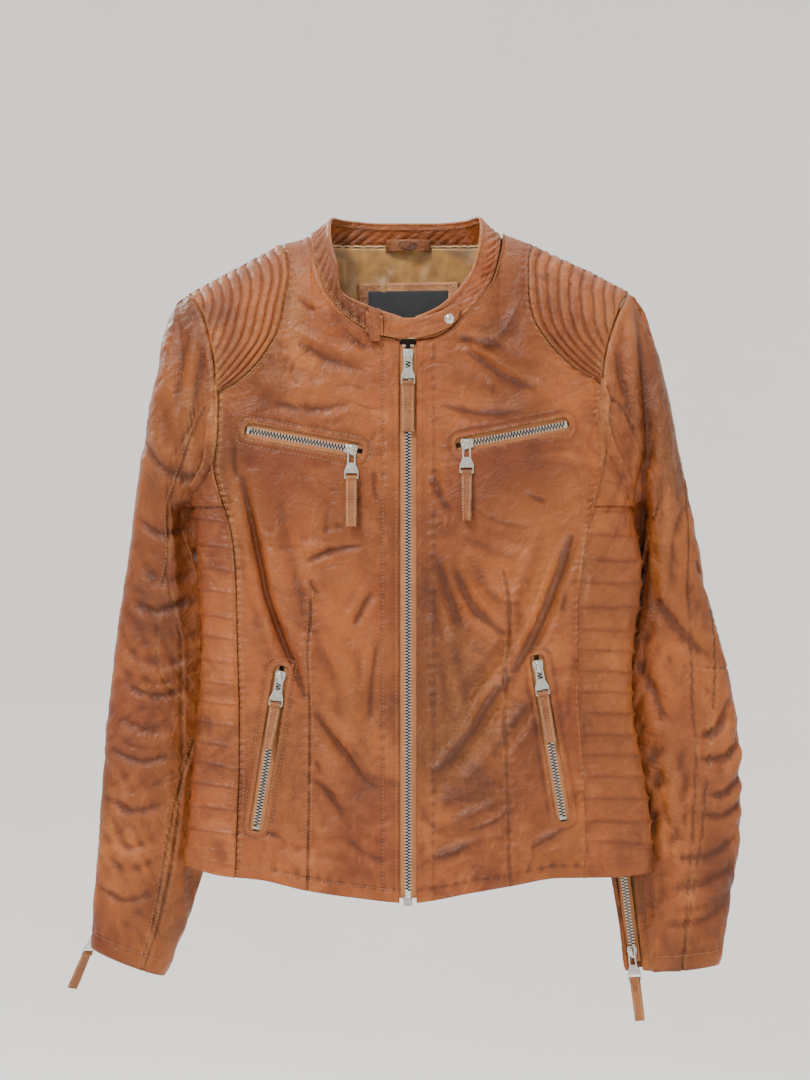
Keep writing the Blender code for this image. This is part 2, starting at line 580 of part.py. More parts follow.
ZIPS = {}
def zip_set(name, frame, length, slider_at, hang=0.0, lift=0.0, tab_len=0.048, tab_w=0.0098, ring=True, flip=False, tape_half=0.0100):
    """tape ring, tooth rows, slider, puller and tab; slider_at = distance from the top stop to the slider's nose.
    hang turns the puller about the outward axis, lift swings it out about the crossbar."""
    if ring:
        t = tape_half
        tape = plate(name + "_tape", [(-t, .004), (t, .004), (t, -length - .004), (-t, -length - .004)], 0.0003,
                     holes=([(-.0037, -.0002), (.0037, -.0002), (.0037, -length + .0002), (-.0037, -length + .0002)],))
        tape.transform(Matrix.Translation((0, 0, -0.0023)))
        place(name + "_tape", tape, frame, "tape")
        end = -length + .0006
        teeth = plate(name + "_teeth", [(-.0034, -.0006), (-.0007, -.0006), (-.0007, end + .003), (.0007, end + .003), (.0007, -.0006), (.0034, -.0006), (.0034, end), (-.0034, end)], 0.0010)
        teeth.transform(Matrix.Translation((0, 0, -0.0022)))
        place(name + "_teeth", teeth, frame, "nickel")
    S = Matrix.Translation((0, -slider_at, 0))
    if flip:     # the slider's wide nose points the other way along the tape
        S = S @ Matrix.Rotation(math.pi, 4, "Z")
    place(name + "_slider", slider_mesh(hang) if hang else SLIDER.copy(), frame @ S, "nickel")
    P = frame @ S @ Matrix.Translation((0, -.0050, 0)) @ Matrix.Rotation(hang, 4, "Z") @ Matrix.Translation((0, BAR[0] + .0050, BAR[1])) @ Matrix.Rotation(-lift, 4, "X")
    pul = place(name + "_puller", PULLER.copy(), P, "nickel")
    T = P @ Matrix.Translation((0, -LOOP_BAR + 0.0000, 0))
    place(name + "_tab", tab_mesh(tab_len, tab_w), T, "leather")
    piv, piv2 = P.translation, T.translation
    ZIPS[name] = dict(pivot=tuple(piv), pivot2=tuple(piv2), axis=tuple((P.to_3x3() @ Vector((1, 0, 0)))), out=tuple(frame.to_3x3() @ Vector((0, 0, 1))), down=tuple(frame.to_3x3() @ Vector((0, -1, 0))))

# main zip: vertical, dividing; two tapes and two tooth rows
YF = depth(408, 500, True)
main = zip_frame((X(408), YF, Z(345)), (X(408), YF, Z(897)), (0, -1, 0))
ML = (897 - 345) * UNIT
for side, sg in (("l", -1), ("r", 1)):
    a, b = sorted((sg * .0037, sg * .0100))
    t = box_mesh("t", (a, -ML, -.0026), (b, 0.0, -.0020))
    place("main_zip_tape_" + side, t, main, "tape")
    a, b = sorted((sg * .0007, sg * .0034))
    t = box_mesh("t", (a, -ML + (0 if sg < 0 else 0), -.0032), (b, -.0004, -.0012))
    if sg > 0:      # the retainer box is clamped on the end of this row, under the pin of the other
        bx = box_mesh("bx", (-.0040, -ML - .0070, -.0036), (.0040, -ML - .0004, -.0008))
        neck = box_mesh("nk", (.0012, -ML - .0020, -.0030), (.0030, -ML + .0010, -.0014))
        t = union([t, bx, neck], "row")
    place("main_zip_teeth_" + side, t, main, "nickel")
zip_set("main_zip", main, ML, 0.0040, tab_len=0.0440, ring=False)

def front_zip(name, a, b, panel, slider_at, from_b, hang_down, **k):
    """pocket zip from grid point a to b on the front; cuts the panel's opening"""
    pa, pb = Vector(body(*a)), Vector(body(*b))
    y = (pa - pb).normalized()
    m = ((a[0] + b[0]) / 2, (a[1] + b[1]) / 2)
    du = Vector(body(m[0] + 8, m[1])) - Vector(body(m[0] - 8, m[1]))
    dv = Vector(body(m[0], m[1] - 8)) - Vector(body(m[0], m[1] + 8))
    n = du.cross(dv).normalized()
    if n.y > 0: n = -n
    L = (pa - pb).length
    f = zip_frame(pa, pb, n)
    hang = 0.0
    if hang_down:
        down = f.to_3x3().inverted() @ Vector((0, 0, -1))
        if from_b: down = Matrix.Rotation(math.pi, 3, "Z") @ down
        hang = math.atan2(down.x, -down.y)
    zip_set(name, f, L, slider_at if not from_b else L - slider_at, hang=hang, flip=from_b, **k)
    c = cutter(name + "_cut", box_mesh("c", (-ZIP_GAP, -L - .0015, -.02), (ZIP_GAP, .0015, .02)), f)
    cut(panel, c)
    return f, L

front_zip("chest_zip_l", (361, 451.5), (247, 430.5), front_l, 0.0035, False, True, tab_len=0.0440, tab_w=0.0090, lift=math.radians(6))
front_zip("chest_zip_r", (457, 446), (567, 424.5), front_r, 0.0035, False, True, tab_len=0.0440, tab_w=0.0090, lift=math.radians(6))
front_zip("pocket_zip_l", (282, 667), (256, 829), front_l, 0.0035, False, False, tab_len=0.0400, tab_w=0.0090, lift=math.radians(2.5))
front_zip("pocket_zip_r", (536, 656), (563, 819), front_r, 0.0035, False, False, tab_len=0.0440, tab_w=0.0090, lift=math.radians(2.5))

def cuff_zip(name, left, ang, s0, s1, lift):
    table = SL_L if left else SL_R
    a = math.radians(ang)
    p0, p1 = Vector(sleeve_point(table, left, s0, a)), Vector(sleeve_point(table, left, s1, a))
    m = (s0 + s1) / 2
    da = Vector(sleeve_point(table, left, m, a + .15)) - Vector(sleeve_point(table, left, m, a - .15))
    n = da.cross(p1 - p0).normalized()
    c = Vector([sum(sleeve_point(table, left, m, math.pi * j / 6)[i] for j in range(12)) / 12 for i in range(3)])
    if n.dot((p0 + p1) / 2 - c) < 0: n = -n
    L = (p1 - p0).length
    f = zip_frame(p0, p1, n)
    zip_set(name, f, L, L - 0.0125, lift=lift, tab_len=0.0380, tab_w=0.0090, tape_half=0.0062)
    return f, L
cuff_zip("cuff_zip_l", True, -27, 0.868, 0.992, math.radians(25))
cuff_zip("cuff_zip_r", False, 146, 0.868, 0.992, 0.0)

sleeve_piece("sleeve_upper_l", True, BS_L, FS_L, True, False, 12)
sleeve_piece("sleeve_under_l", True, FS_L, BS_L, False, True, 12, long_way=True)
sleeve_piece("sleeve_upper_r", False, BS_R, FS_R, False, True, 12)
sleeve_piece("sleeve_under_r", False, FS_R, BS_R, True, False, 14, long_way=True)
sleeve_lining("sleeve_lining_l", True)
sleeve_lining("sleeve_lining_r", False)

# ---------------------------------------------------------------- joint axes: an empty on each moving piece's axis
def pivot(name, at, names):
    e = bpy.data.objects.new(name, None)
    e.location = at
    COL.objects.link(e)
    for n in names:
        o = bpy.data.objects[n]
        o.parent = e
        o.matrix_parent_inverse = Matrix.Translation(at).inverted()
    return e
pivot("pivot_strap", (X(384), STRAP_Y, Z(326)), ["strap_tab", "snap_cap"])
for z, d in ZIPS.items():
    pivot("pivot_" + z + "_slider", d["pivot"], [z + "_slider"])
    pivot("pivot_" + z + "_puller", d["pivot"], [z + "_puller"])
    pivot("pivot_" + z + "_tab", d["pivot2"], [z + "_tab"])
pivot("pivot_sleeve_l", (X(185), 0, Z(291)), ["sleeve_upper_l", "sleeve_under_l", "sleeve_lining_l"])
pivot("pivot_sleeve_r", (X(632), 0, Z(289)), ["sleeve_upper_r", "sleeve_under_r", "sleeve_lining_r"])
for z, d in ZIPS.items():
    print("ZIP", z, {k: tuple(round(c, 5) for c in v) for k, v in d.items()})
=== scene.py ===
import bpy, bmesh, math, json
import numpy as np
from mathutils import Vector, Matrix
from mathutils.kdtree import KDTree

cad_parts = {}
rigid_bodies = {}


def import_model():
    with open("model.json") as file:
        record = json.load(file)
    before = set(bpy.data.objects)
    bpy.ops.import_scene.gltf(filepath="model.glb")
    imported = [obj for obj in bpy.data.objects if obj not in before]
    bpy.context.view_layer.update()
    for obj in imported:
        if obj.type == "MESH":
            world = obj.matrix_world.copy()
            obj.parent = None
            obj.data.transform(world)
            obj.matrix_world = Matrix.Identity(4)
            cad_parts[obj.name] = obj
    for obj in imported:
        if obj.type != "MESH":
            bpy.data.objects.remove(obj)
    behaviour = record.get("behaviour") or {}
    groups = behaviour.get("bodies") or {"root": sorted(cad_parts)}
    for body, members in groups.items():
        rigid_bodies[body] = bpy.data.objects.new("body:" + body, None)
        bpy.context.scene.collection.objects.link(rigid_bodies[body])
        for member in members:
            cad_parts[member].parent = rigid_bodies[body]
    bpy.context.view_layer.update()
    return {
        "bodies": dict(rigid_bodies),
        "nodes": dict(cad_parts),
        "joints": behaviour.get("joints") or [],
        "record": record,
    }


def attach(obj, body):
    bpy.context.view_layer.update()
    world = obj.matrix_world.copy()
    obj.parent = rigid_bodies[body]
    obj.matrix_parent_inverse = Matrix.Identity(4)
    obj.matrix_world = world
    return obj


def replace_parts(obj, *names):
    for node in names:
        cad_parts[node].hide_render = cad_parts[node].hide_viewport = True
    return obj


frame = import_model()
BODY = "jacket_body"

# =====================================================================================
# the same drafting grid as the frame: u right, v down, one unit = 0.9 mm, hanger point (408, 236)
UNIT, U0, V0 = 0.0009, 408.0, 236.0
def X(u): return (u - U0) * UNIT
def Z(v): return (V0 - v) * UNIT
DEPTH_F, DEPTH_B, SECT, SHOULDER_R = 0.048, 0.040, 2.6, 0.130
LINING_IN = 0.0085
ZIP_GAP = 0.00675

def pchip(pts):
    """smooth monotone curve through (x, y) points"""
    x = np.array([p[0] for p in pts], float); y = np.array([p[1] for p in pts], float)
    h = np.diff(x); d = np.diff(y) / h
    m = np.zeros(len(x))
    if len(x) > 2:
        w1, w2 = 2 * h[1:] + h[:-1], h[1:] + 2 * h[:-1]
        ok = d[:-1] * d[1:] > 0
        with np.errstate(divide="ignore", invalid="ignore"):
            mm = (w1 + w2) / (w1 / d[:-1] + w2 / d[1:])
        m[1:-1] = np.where(ok, mm, 0)
    m[0], m[-1] = d[0], d[-1]
    def f(q):
        q = np.clip(np.asarray(q, float), x[0], x[-1])
        i = np.clip(np.searchsorted(x, q, side="right") - 1, 0, len(x) - 2)
        t = (q - x[i]) / h[i]
        return ((2*t**3 - 3*t**2 + 1) * y[i] + (t**3 - 2*t**2 + t) * h[i] * m[i]
                + (-2*t**3 + 3*t**2) * y[i+1] + (t**3 - t**2) * h[i] * m[i+1])
    return f
def lin(pts):
    x = np.array([p[0] for p in pts], float); y = np.array([p[1] for p in pts], float)
    return lambda q: np.interp(q, x, y)

side_l = pchip([(210,150),(345,150),(395,155),(434,166),(463,178),(497,190),(547,194),(601,197),(645,200),(708,196),(765,191),(819,187),(867,183),(905,181)])
side_r = pchip([(210,668),(345,668),(395,664),(434,655),(463,645),(499,634),(533,639),(565,644),(601,643),(628,638),(690,634),(720,636),(765,644),(801,650),(836,654),(905,657)])
ridge = lin([(140,372),(150,345),(160,325),(171,302),(185,291),(280,240),(301,234),(310,229),(330,170),(345,110),(470,110),(485,170),(499,225),(505,229),(533,241),(596,270),(632,289),(643,305),(652,330),(668,372)])
hem = pchip([(183,867),(222,876),(258,879),(308,890),(356,897),(408,902),(471,892),(511,885),(561,877),(614,877),(657,874)])
seam_l = pchip([(240,280),(256,286),(274,288),(300,284),(329,278),(349,267),(372,249),(386,231),(395,217),(434,216),(452,214),(463,212),(499,220),(512,224.5),(526,228.5),(547,232),(570,234),(592,235),(636,236),(720,238),(765,238),(819,236),(905,233)])
seam_r = pchip([(241,533),(261,528),(291,528),(316,532),(343,548),(366,571),(388,601),(416,597),(444,605),(486,598),(511,591),(540,587),(576,582),(610,579),(690,579),(729,581),(783,585),(819,586),(905,584)])
arm_l = pchip([(291,185),(304,196),(324,205),(345,210),(363,214),(395,215.5),(434,216),(452,214),(463,212),(480,202),(497,190)])
arm_r = pchip([(289,632),(301,624),(315,618),(341,609),(363,604),(388,602),(416,598),(444,605),(470,618),(499,634)])
neck_l = pchip([(225,308.3),(233,308.8),(243,310),(267,315),(298,330),(319,349.5),(335,377),(341.5,401)])
neck_r = pchip([(225,503.7),(231,503.3),(240,502.8),(275,494.2),(298,480),(321,459),(339,434),(341.5,415)])

def depth(u, v, front):
    u, v = np.asarray(u, float), np.asarray(v, float)
    l, r = side_l(v), side_r(v)
    c, w = (l + r) / 2, (r - l) / 2
    q = np.minimum(1.0, np.abs(u - c) / w)
    f = (1 - q ** SECT) ** (1 / SECT)
    t = np.clip((v - ridge(u)) * UNIT / SHOULDER_R, 0, 1)
    T = np.sqrt(np.maximum(0, 1 - (1 - t) ** 2))
    D = np.where(front, -DEPTH_F, DEPTH_B)
    return D * f * T - 0.012 * q * q * np.minimum(1.0, t * 3)

# ------------------------------------------------------------------------------------- noise
def vnoise(x, y, seed=0):
    xi, yi = np.floor(x).astype(np.int64), np.floor(y).astype(np.int64)
    fx, fy = x - xi, y - yi
    fx, fy = fx * fx * fx * (fx * (fx * 6 - 15) + 10), fy * fy * fy * (fy * (fy * 6 - 15) + 10)
    def hsh(a, b):
        n = (a * 374761393 + b * 668265263 + seed * 982451653) & 0xFFFFFFFF
        n = ((n ^ (n >> 13)) * 1274126177) & 0xFFFFFFFF
        return ((n ^ (n >> 16)) & 0xFFFF) / 32767.5 - 1.0
    a, b, c, d = hsh(xi, yi), hsh(xi + 1, yi), hsh(xi, yi + 1), hsh(xi + 1, yi + 1)
    return (a * (1 - fx) + b * fx) * (1 - fy) + (c * (1 - fx) + d * fx) * fy
def fbm(x, y, seed=0, n=3):
    s = 0; a = 1.0
    for k in range(n):
        s = s + a * vnoise(x * 2 ** k, y * 2 ** k, seed + 17 * k); a *= 0.5
    return s

def smooth_line(pts, n=6):
    """Catmull-Rom through a few points"""
    P = [np.array(p, float) for p in pts]
    if len(P) == 2: return np.array([P[0] + (P[1] - P[0]) * k / n for k in range(n + 1)])
    P = [2 * P[0] - P[1]] + P + [2 * P[-1] - P[-2]]
    out = []
    for i in range(1, len(P) - 2):
        for k in range(n):
            t = k / n
            out.append(0.5 * ((2 * P[i]) + (-P[i-1] + P[i+1]) * t + (2*P[i-1] - 5*P[i] + 4*P[i+1] - P[i+2]) * t*t + (-P[i-1] + 3*P[i] - 3*P[i+1] + P[i+2]) * t**3))
    out.append(P[-2])
    return np.array(out)

def line_dist(u, v, pts, n=4):
    """distance to a polyline and the fraction along it"""
    L = smooth_line(pts, n)
    best = np.full(u.shape, 1e9); frac = np.zeros(u.shape); sgn = np.zeros(u.shape)
    cum = np.concatenate([[0], np.cumsum(np.hypot(*(L[1:] - L[:-1]).T))])
    for i in range(len(L) - 1):
        a, b = L[i], L[i + 1]; d = b - a; q = d @ d + 1e-9
        t = np.clip(((u - a[0]) * d[0] + (v - a[1]) * d[1]) / q, 0, 1)
        du, dv = u - a[0] - t * d[0], v - a[1] - t * d[1]
        dd = np.hypot(du, dv)
        m = dd < best
        best = np.where(m, dd, best)
        frac = np.where(m, (cum[i] + t * (cum[i+1] - cum[i])) / cum[-1], frac)
        sgn = np.where(m, np.sign(d[0] * dv - d[1] * du), sgn)
    return best, frac, sgn

def strokes(u, v, S):
    """folds: (points, width in units, height in mm); a valley has a soft shoulder on each side"""
    out = np.zeros(u.shape)
    for pts, w, a in S:
        P = np.array(pts, float)
        m = (u > P[:,0].min() - 4*w) & (u < P[:,0].max() + 4*w) & (v > P[:,1].min() - 4*w) & (v < P[:,1].max() + 4*w)
        if not m.any(): continue
        d, f, s = line_dist(u[m], v[m], pts)
        taper = np.clip(f / 0.25, 0, 1) * np.clip((1 - f) / 0.25, 0, 1)
        taper = np.where((f <= 0) | (f >= 1), 0.0, taper) ** 0.7
        wn = np.sign(a) < 0
        endf = np.exp(-(np.maximum(0, d) / (w * (0.62 if wn else 0.9))) ** (1.25 if wn else 1.7))
        prof = endf - 0.55 * np.exp(-((d - 1.6 * w) / (0.8 * w)) ** 2)
        out[m] += a * prof * (0.15 + 0.85 * taper) * np.where((f <= 0.001) | (f >= 0.999), 0.25, 1)
    return out

# =====================================================================================
# materials
def mat_base(name):
    m = bpy.data.materials.new(name); m.use_nodes = True
    nt = m.node_tree; nt.nodes.clear()
    out = nt.nodes.new("ShaderNodeOutputMaterial"); b = nt.nodes.new("ShaderNodeBsdfPrincipled")
    nt.links.new(b.outputs[0], out.inputs[0])
    return m, nt, b
class NT:
    def __init__(s, nt): s.nt = nt
    def n(s, kind, **k):
        x = s.nt.nodes.new(kind)
        for a, b in k.items(): setattr(x, a, b)
        return x
    def l(s, a, b): s.nt.links.new(a, b)
    def math(s, op, a, b=None, clamp=False):
        x = s.n("ShaderNodeMath", operation=op, use_clamp=clamp)
        for i, q in enumerate((a, b)):
            if q is None: continue
            if isinstance(q, (int, float)): x.inputs[i].default_value = q
            else: s.l(q, x.inputs[i])
        return x.outputs[0]
    def noise(s, co, scale, detail=3, rough=0.55, dist=0.0):
        x = s.n("ShaderNodeTexNoise"); s.l(co, x.inputs["Vector"])
        x.inputs["Scale"].default_value = scale; x.inputs["Detail"].default_value = detail
        x.inputs["Roughness"].default_value = rough; x.inputs["Distortion"].default_value = dist
        return x.outputs["Fac"]
    def ramp(s, f, stops):
        x = s.n("ShaderNodeValToRGB"); s.l(f, x.inputs[0]); e = x.color_ramp.elements
        while len(e) < len(stops): e.new(0.5)
        for q, (p, c) in zip(e, stops): q.position = p; q.color = (*c, 1) if len(c) == 3 else c
        return x.outputs[0]
    def mix(s, f, a, b, mode="MIX"):
        x = s.n("ShaderNodeMix", data_type="RGBA", blend_type=mode)
        for i, q in ((0, f), (6, a), (7, b)):
            if isinstance(q, (int, float)): x.inputs[i].default_value = q
            elif isinstance(q, tuple): x.inputs[i].default_value = (*q, 1)
            else: s.l(q, x.inputs[i])
        return x.outputs[2]
    def attr(s, name):
        x = s.n("ShaderNodeAttribute"); x.attribute_name = name
        return x.outputs["Color"], x.outputs["Fac"]
    def bump(s, h, strength, dist, normal=None):
        x = s.n("ShaderNodeBump"); s.l(h, x.inputs["Height"])
        x.inputs["Strength"].default_value = strength; x.inputs["Distance"].default_value = dist
        if normal: s.l(normal, x.inputs["Normal"])
        return x.outputs[0]

def leather(name, light=(0.40, 0.155, 0.056), mid=(0.205, 0.068, 0.022), dark=(0.060, 0.018, 0.007), rough=0.38, use_attr=True, grain=1.0, warm=(0.90, 0.62, 0.35)):
    m, nt, b = mat_base(name); k = NT(nt)
    tc = k.n("ShaderNodeTexCoord").outputs["Object"]
    big = k.noise(tc, 9.0, 4, 0.6, 0.6)
    col = k.ramp(big, [(0.34, tuple(0.66 * a for a in mid)), (0.50, tuple(0.62 * a + 0.38 * c for a, c in zip(mid, light))), (0.68, light)])
    cloud = k.noise(tc, 30.0, 5, 0.65, 1.2)
    col = k.mix(k.math("MULTIPLY", k.ramp(cloud, [(0.45, (0, 0, 0)), (0.72, (1, 1, 1))]), 0.55), col, (0.50, 0.215, 0.095))
    dk = k.noise(tc, 17.0, 5, 0.62, 1.6)
    col = k.mix(k.math("MULTIPLY", k.ramp(dk, [(0.47, (0, 0, 0)), (0.66, (1, 1, 1))]), 0.80), col, (0.105, 0.032, 0.011))
    # rubbed streaks
    st = k.n("ShaderNodeMapping"); st.inputs["Scale"].default_value = (1.0, 1.0, 0.22); st.inputs["Rotation"].default_value = (0.2, 0.5, 0.3)
    k.l(tc, st.inputs["Vector"])
    streak = k.noise(st.outputs[0], 120.0, 4, 0.7, 0.3)
    col = k.mix(k.math("MULTIPLY", k.ramp(streak, [(0.60, (0, 0, 0)), (0.76, (1, 1, 1))]), 0.16), col, (0.55, 0.29, 0.16))
    if use_attr:
        tone, _ = k.attr("tone")           # r: redder, g: yellower, b: darker
        sep = k.n("ShaderNodeSeparateColor"); k.l(tone, sep.inputs[0])
        col = k.mix(k.math("MULTIPLY", sep.outputs[0], 0.50), col, (0.21, 0.060, 0.031))
        col = k.mix(k.math("MULTIPLY", sep.outputs[1], 0.50), col, (0.36, 0.155, 0.046))
        col = k.mix(k.math("MULTIPLY", sep.outputs[2], 0.66), col, dark)
        wc, wf = k.attr("wear_and_shade")            # r: pale rubbed, g: painted shade in creases and hollows plus dirt patches
        sp2 = k.n("ShaderNodeSeparateColor"); k.l(wc, sp2.inputs[0])
        brk = k.noise(tc, 260.0, 4, 0.7)
        w = k.math("MULTIPLY", sp2.outputs[0], k.ramp(brk, [(0.36, (0.15, 0.15, 0.15)), (0.62, (1, 1, 1))]))
        col = k.mix(k.math("MULTIPLY", w, 0.75, True), col, (0.54, 0.34, 0.20))
        # painted shade in creases and hollows, with some dirt patches, darkens the colour
        col = k.mix(k.math("MULTIPLY", sp2.outputs[1], 0.78, True), col, dark)
    fine = k.noise(tc, 900.0, 2, 0.5)
    col = k.mix(0.16, col, k.ramp(fine, [(0.3, (0.25, 0.25, 0.25)), (0.7, (0.75, 0.75, 0.75))]), "OVERLAY")
    col = k.mix(1.0, col, warm, "MULTIPLY")
    k.l(col, b.inputs["Base Color"])
    rg = k.noise(tc, 60.0, 4, 0.6)
    k.l(k.ramp(rg, [(0.3, (rough - 0.10,) * 3), (0.7, (rough + 0.10,) * 3)]), b.inputs["Roughness"])
    b.inputs["Specular IOR Level"].default_value = 0.30
    b.inputs["Sheen Weight"].default_value = 0.0
    b.inputs["Sheen Roughness"].default_value = 0.5
    vo = k.n("ShaderNodeTexVoronoi"); vo.feature = "DISTANCE_TO_EDGE"; k.l(tc, vo.inputs["Vector"]); vo.inputs["Scale"].default_value = 780.0
    peb = k.ramp(vo.outputs["Distance"], [(0.0, (0, 0, 0)), (0.16, (1, 1, 1))])
    n1 = k.bump(peb, 0.22 * grain, 0.00025)
    n2 = k.bump(k.noise(tc, 340.0, 5, 0.7, 0.4), 0.35 * grain, 0.0006, n1)
    n3 = k.bump(k.noise(tc, 85.0, 4, 0.6, 1.0), 0.40 * grain, 0.0016, n2)
    rn = k.math("ABSOLUTE", k.math("SUBTRACT", k.noise(tc, 34.0, 5, 0.62, 1.8), 0.5))
    n4 = k.bump(k.ramp(rn, [(0.0, (0, 0, 0)), (0.10, (1, 1, 1))]), 0.30 * grain, 0.0018, n3)
    n5 = k.bump(k.noise(tc, 22.0, 5, 0.6, 1.2), 0.55 * grain, 0.006, n4)
    k.l(n5, b.inputs["Normal"])
    return m

def metal(name, col=(0.66, 0.64, 0.60), rough=0.26):
    m, nt, b = mat_base(name); k = NT(nt)
    tc = k.n("ShaderNodeTexCoord").outputs["Object"]
    n = k.noise(tc, 420.0, 4, 0.6)
    k.l(k.ramp(n, [(0.3, tuple(c * 0.72 for c in col)), (0.65, col)]), b.inputs["Base Color"])
    k.l(k.ramp(k.noise(tc, 900.0, 3), [(0.3, (rough - 0.06,) * 3), (0.7, (rough + 0.16,) * 3)]), b.inputs["Roughness"])
    b.inputs["Metallic"].default_value = 1.0
    k.l(k.bump(k.noise(tc, 1500.0, 3), 0.12, 0.0002), b.inputs["Normal"])
    return m

def fabric(name, base, alt, scale=1500.0, rough=0.8, sheen=0.2, bump=0.5):
    m, nt, b = mat_base(name); k = NT(nt)
    tc = k.n("ShaderNodeTexCoord").outputs["Object"]
    w1 = k.n("ShaderNodeTexWave"); w1.wave_type = "BANDS"; w1.bands_direction = "Z"; k.l(tc, w1.inputs["Vector"]); w1.inputs["Scale"].default_value = scale; w1.inputs["Distortion"].default_value = 0.6
    w2 = k.n("ShaderNodeTexWave"); w2.wave_type = "BANDS"; w2.bands_direction = "X"; k.l(tc, w2.inputs["Vector"]); w2.inputs["Scale"].default_value = scale; w2.inputs["Distortion"].default_value = 0.6
    h = k.math("MULTIPLY", w1.outputs["Fac"], w2.outputs["Fac"])
    col = k.mix(k.ramp(k.noise(tc, 45.0, 4, 0.6, 0.5), [(0.35, (0, 0, 0)), (0.7, (1, 1, 1))]), base, alt)
    col = k.mix(0.35, col, k.ramp(h, [(0.0, (0.3, 0.3, 0.3)), (1.0, (0.7, 0.7, 0.7))]), "OVERLAY")
    k.l(col, b.inputs["Base Color"])
    b.inputs["Roughness"].default_value = rough
    b.inputs["Sheen Weight"].default_value = sheen
    k.l(k.bump(h, bump, 0.0003), b.inputs["Normal"])
    return m

def thread(name, col=(0.52, 0.30, 0.16)):
    m, nt, b = mat_base(name); k = NT(nt)
    tc = k.n("ShaderNodeTexCoord").outputs["Object"]
    k.l(k.ramp(k.noise(tc, 300.0, 3), [(0.3, tuple(c * 0.6 for c in col)), (0.7, col)]), b.inputs["Base Color"])
    b.inputs["Roughness"].default_value = 0.7
    w = k.n("ShaderNodeTexWave"); w.bands_direction = "DIAGONAL"; k.l(tc, w.inputs["Vector"]); w.inputs["Scale"].default_value = 2600.0
    k.l(k.bump(w.outputs["Fac"], 0.4, 0.0001), b.inputs["Normal"])
    return m

M_LEATHER = leather("leather_shell")
M_TAB = leather("leather_tab", (0.30, 0.135, 0.070), (0.19, 0.078, 0.037), (0.10, 0.04, 0.018), 0.5, warm=(0.86, 0.70, 0.52))
M_PATCH = leather("leather_patch", (0.50, 0.30, 0.18), (0.40, 0.22, 0.13), (0.25, 0.12, 0.06), 0.5, warm=(0.92, 0.76, 0.60))
M_EDGE = leather("leather_strip", (0.50, 0.20, 0.075), (0.38, 0.13, 0.045), (0.2, 0.06, 0.02), 0.5, False)
M_NICKEL = metal("nickel", (0.58, 0.56, 0.52), 0.17)
M_TEETH = metal("nickel_teeth", (0.55, 0.52, 0.48), 0.22)
M_TAPE = fabric("zip_tape", (0.46, 0.17, 0.052), (0.36, 0.125, 0.036), 1700.0, 0.8)
M_DARK = fabric("zip_end", (0.035, 0.022, 0.018), (0.05, 0.03, 0.022), 1700.0, 0.85)
# gold satin mottled by noise with dark brown; the dark patches are painted shade standing in for its folds
M_SATIN = fabric("satin", (0.38, 0.18, 0.030), (0.13, 0.055, 0.010), 2600.0, 0.34, 0.5, 0.15)
M_LABEL = fabric("label_cloth", (0.018, 0.020, 0.024), (0.03, 0.03, 0.034), 2200.0, 0.75)
M_THREAD = thread("thread", (0.36, 0.165, 0.07))
M_PALE = thread("piping", (0.55, 0.38, 0.26))
M_PIPE = thread("neck_piping", (0.55, 0.37, 0.19))

# =====================================================================================
# meshes from grids
def link(ob):
    bpy.context.scene.collection.objects.link(ob); return ob
def normals(P):
    du = np.gradient(P, axis=1); dv = np.gradient(P, axis=0)
    n = np.cross(dv, du)
    L = np.linalg.norm(n, axis=2, keepdims=True)
    return n / np.maximum(L, 1e-12)
FLAT = {}
def flat_size(P):
    """the cut piece's width, length and area, from its grid before any wrinkle is added"""
    w = np.linalg.norm(np.diff(P, axis=1), axis=2).sum(axis=1); l = np.linalg.norm(np.diff(P, axis=0), axis=2).sum(axis=0)
    a, b, c, d = P[:-1, :-1], P[1:, :-1], P[1:, 1:], P[:-1, 1:]
    area = 0.5 * (np.linalg.norm(np.cross(b - a, c - a), axis=2) + np.linalg.norm(np.cross(c - a, d - a), axis=2)).sum()
    return float(w.max()), float(l.max()), float(area)
def grid_object(name, P, mat, attrs=None, closed=False, thick=0.0012, flip=False):
    FLAT.setdefault(name, flat_size(P))
    nv, nu = P.shape[:2]
    idx = np.arange(nv * nu).reshape(nv, nu)
    if closed:
        a, b = idx, np.roll(idx, -1, axis=1)
    else:
        a, b = idx[:, :-1], idx[:, 1:]
    F = np.stack([a[:-1], a[1:], b[1:], b[:-1]], axis=-1).reshape(-1, 4)
    if flip: F = F[:, ::-1]
    me = bpy.data.meshes.new(name)
    me.vertices.add(nv * nu); me.vertices.foreach_set("co", P.reshape(-1).astype(np.float32))
    me.loops.add(F.size); me.loops.foreach_set("vertex_index", F.reshape(-1).astype(np.int32))
    me.polygons.add(len(F)); me.polygons.foreach_set("loop_start", np.arange(0, F.size, 4, dtype=np.int32))
    me.update(calc_edges=True); me.validate()
    me.polygons.foreach_set("use_smooth", np.ones(len(F), bool))
    for key, val in (attrs or {}).items():
        at = me.attributes.new(key, "FLOAT_COLOR", "POINT")
        c = np.ones((nv * nu, 4), np.float32); c[:, :3] = np.clip(val.reshape(-1, 3), 0, 1)
        at.data.foreach_set("color", c.reshape(-1))
    ob = link(bpy.data.objects.new(name, me)); ob.data.materials.append(mat)
    if thick:
        s = ob.modifiers.new("thick", "SOLIDIFY"); s.thickness = thick; s.offset = -1; s.use_even_offset = False
    return ob

def edge_dist(P, rows=True):
    """distance in mm along the grid from each of the four sides: left, right, top, bottom"""
    du = np.linalg.norm(np.diff(P, axis=1), axis=2) * 1000
    dv = np.linalg.norm(np.diff(P, axis=0), axis=2) * 1000
    cu = np.concatenate([np.zeros((P.shape[0], 1)), np.cumsum(du, axis=1)], axis=1)
    cv = np.concatenate([np.zeros((1, P.shape[1])), np.cumsum(dv, axis=0)], axis=0)
    return cu, cu[:, -1:] - cu, cv, cv[-1:, :] - cv

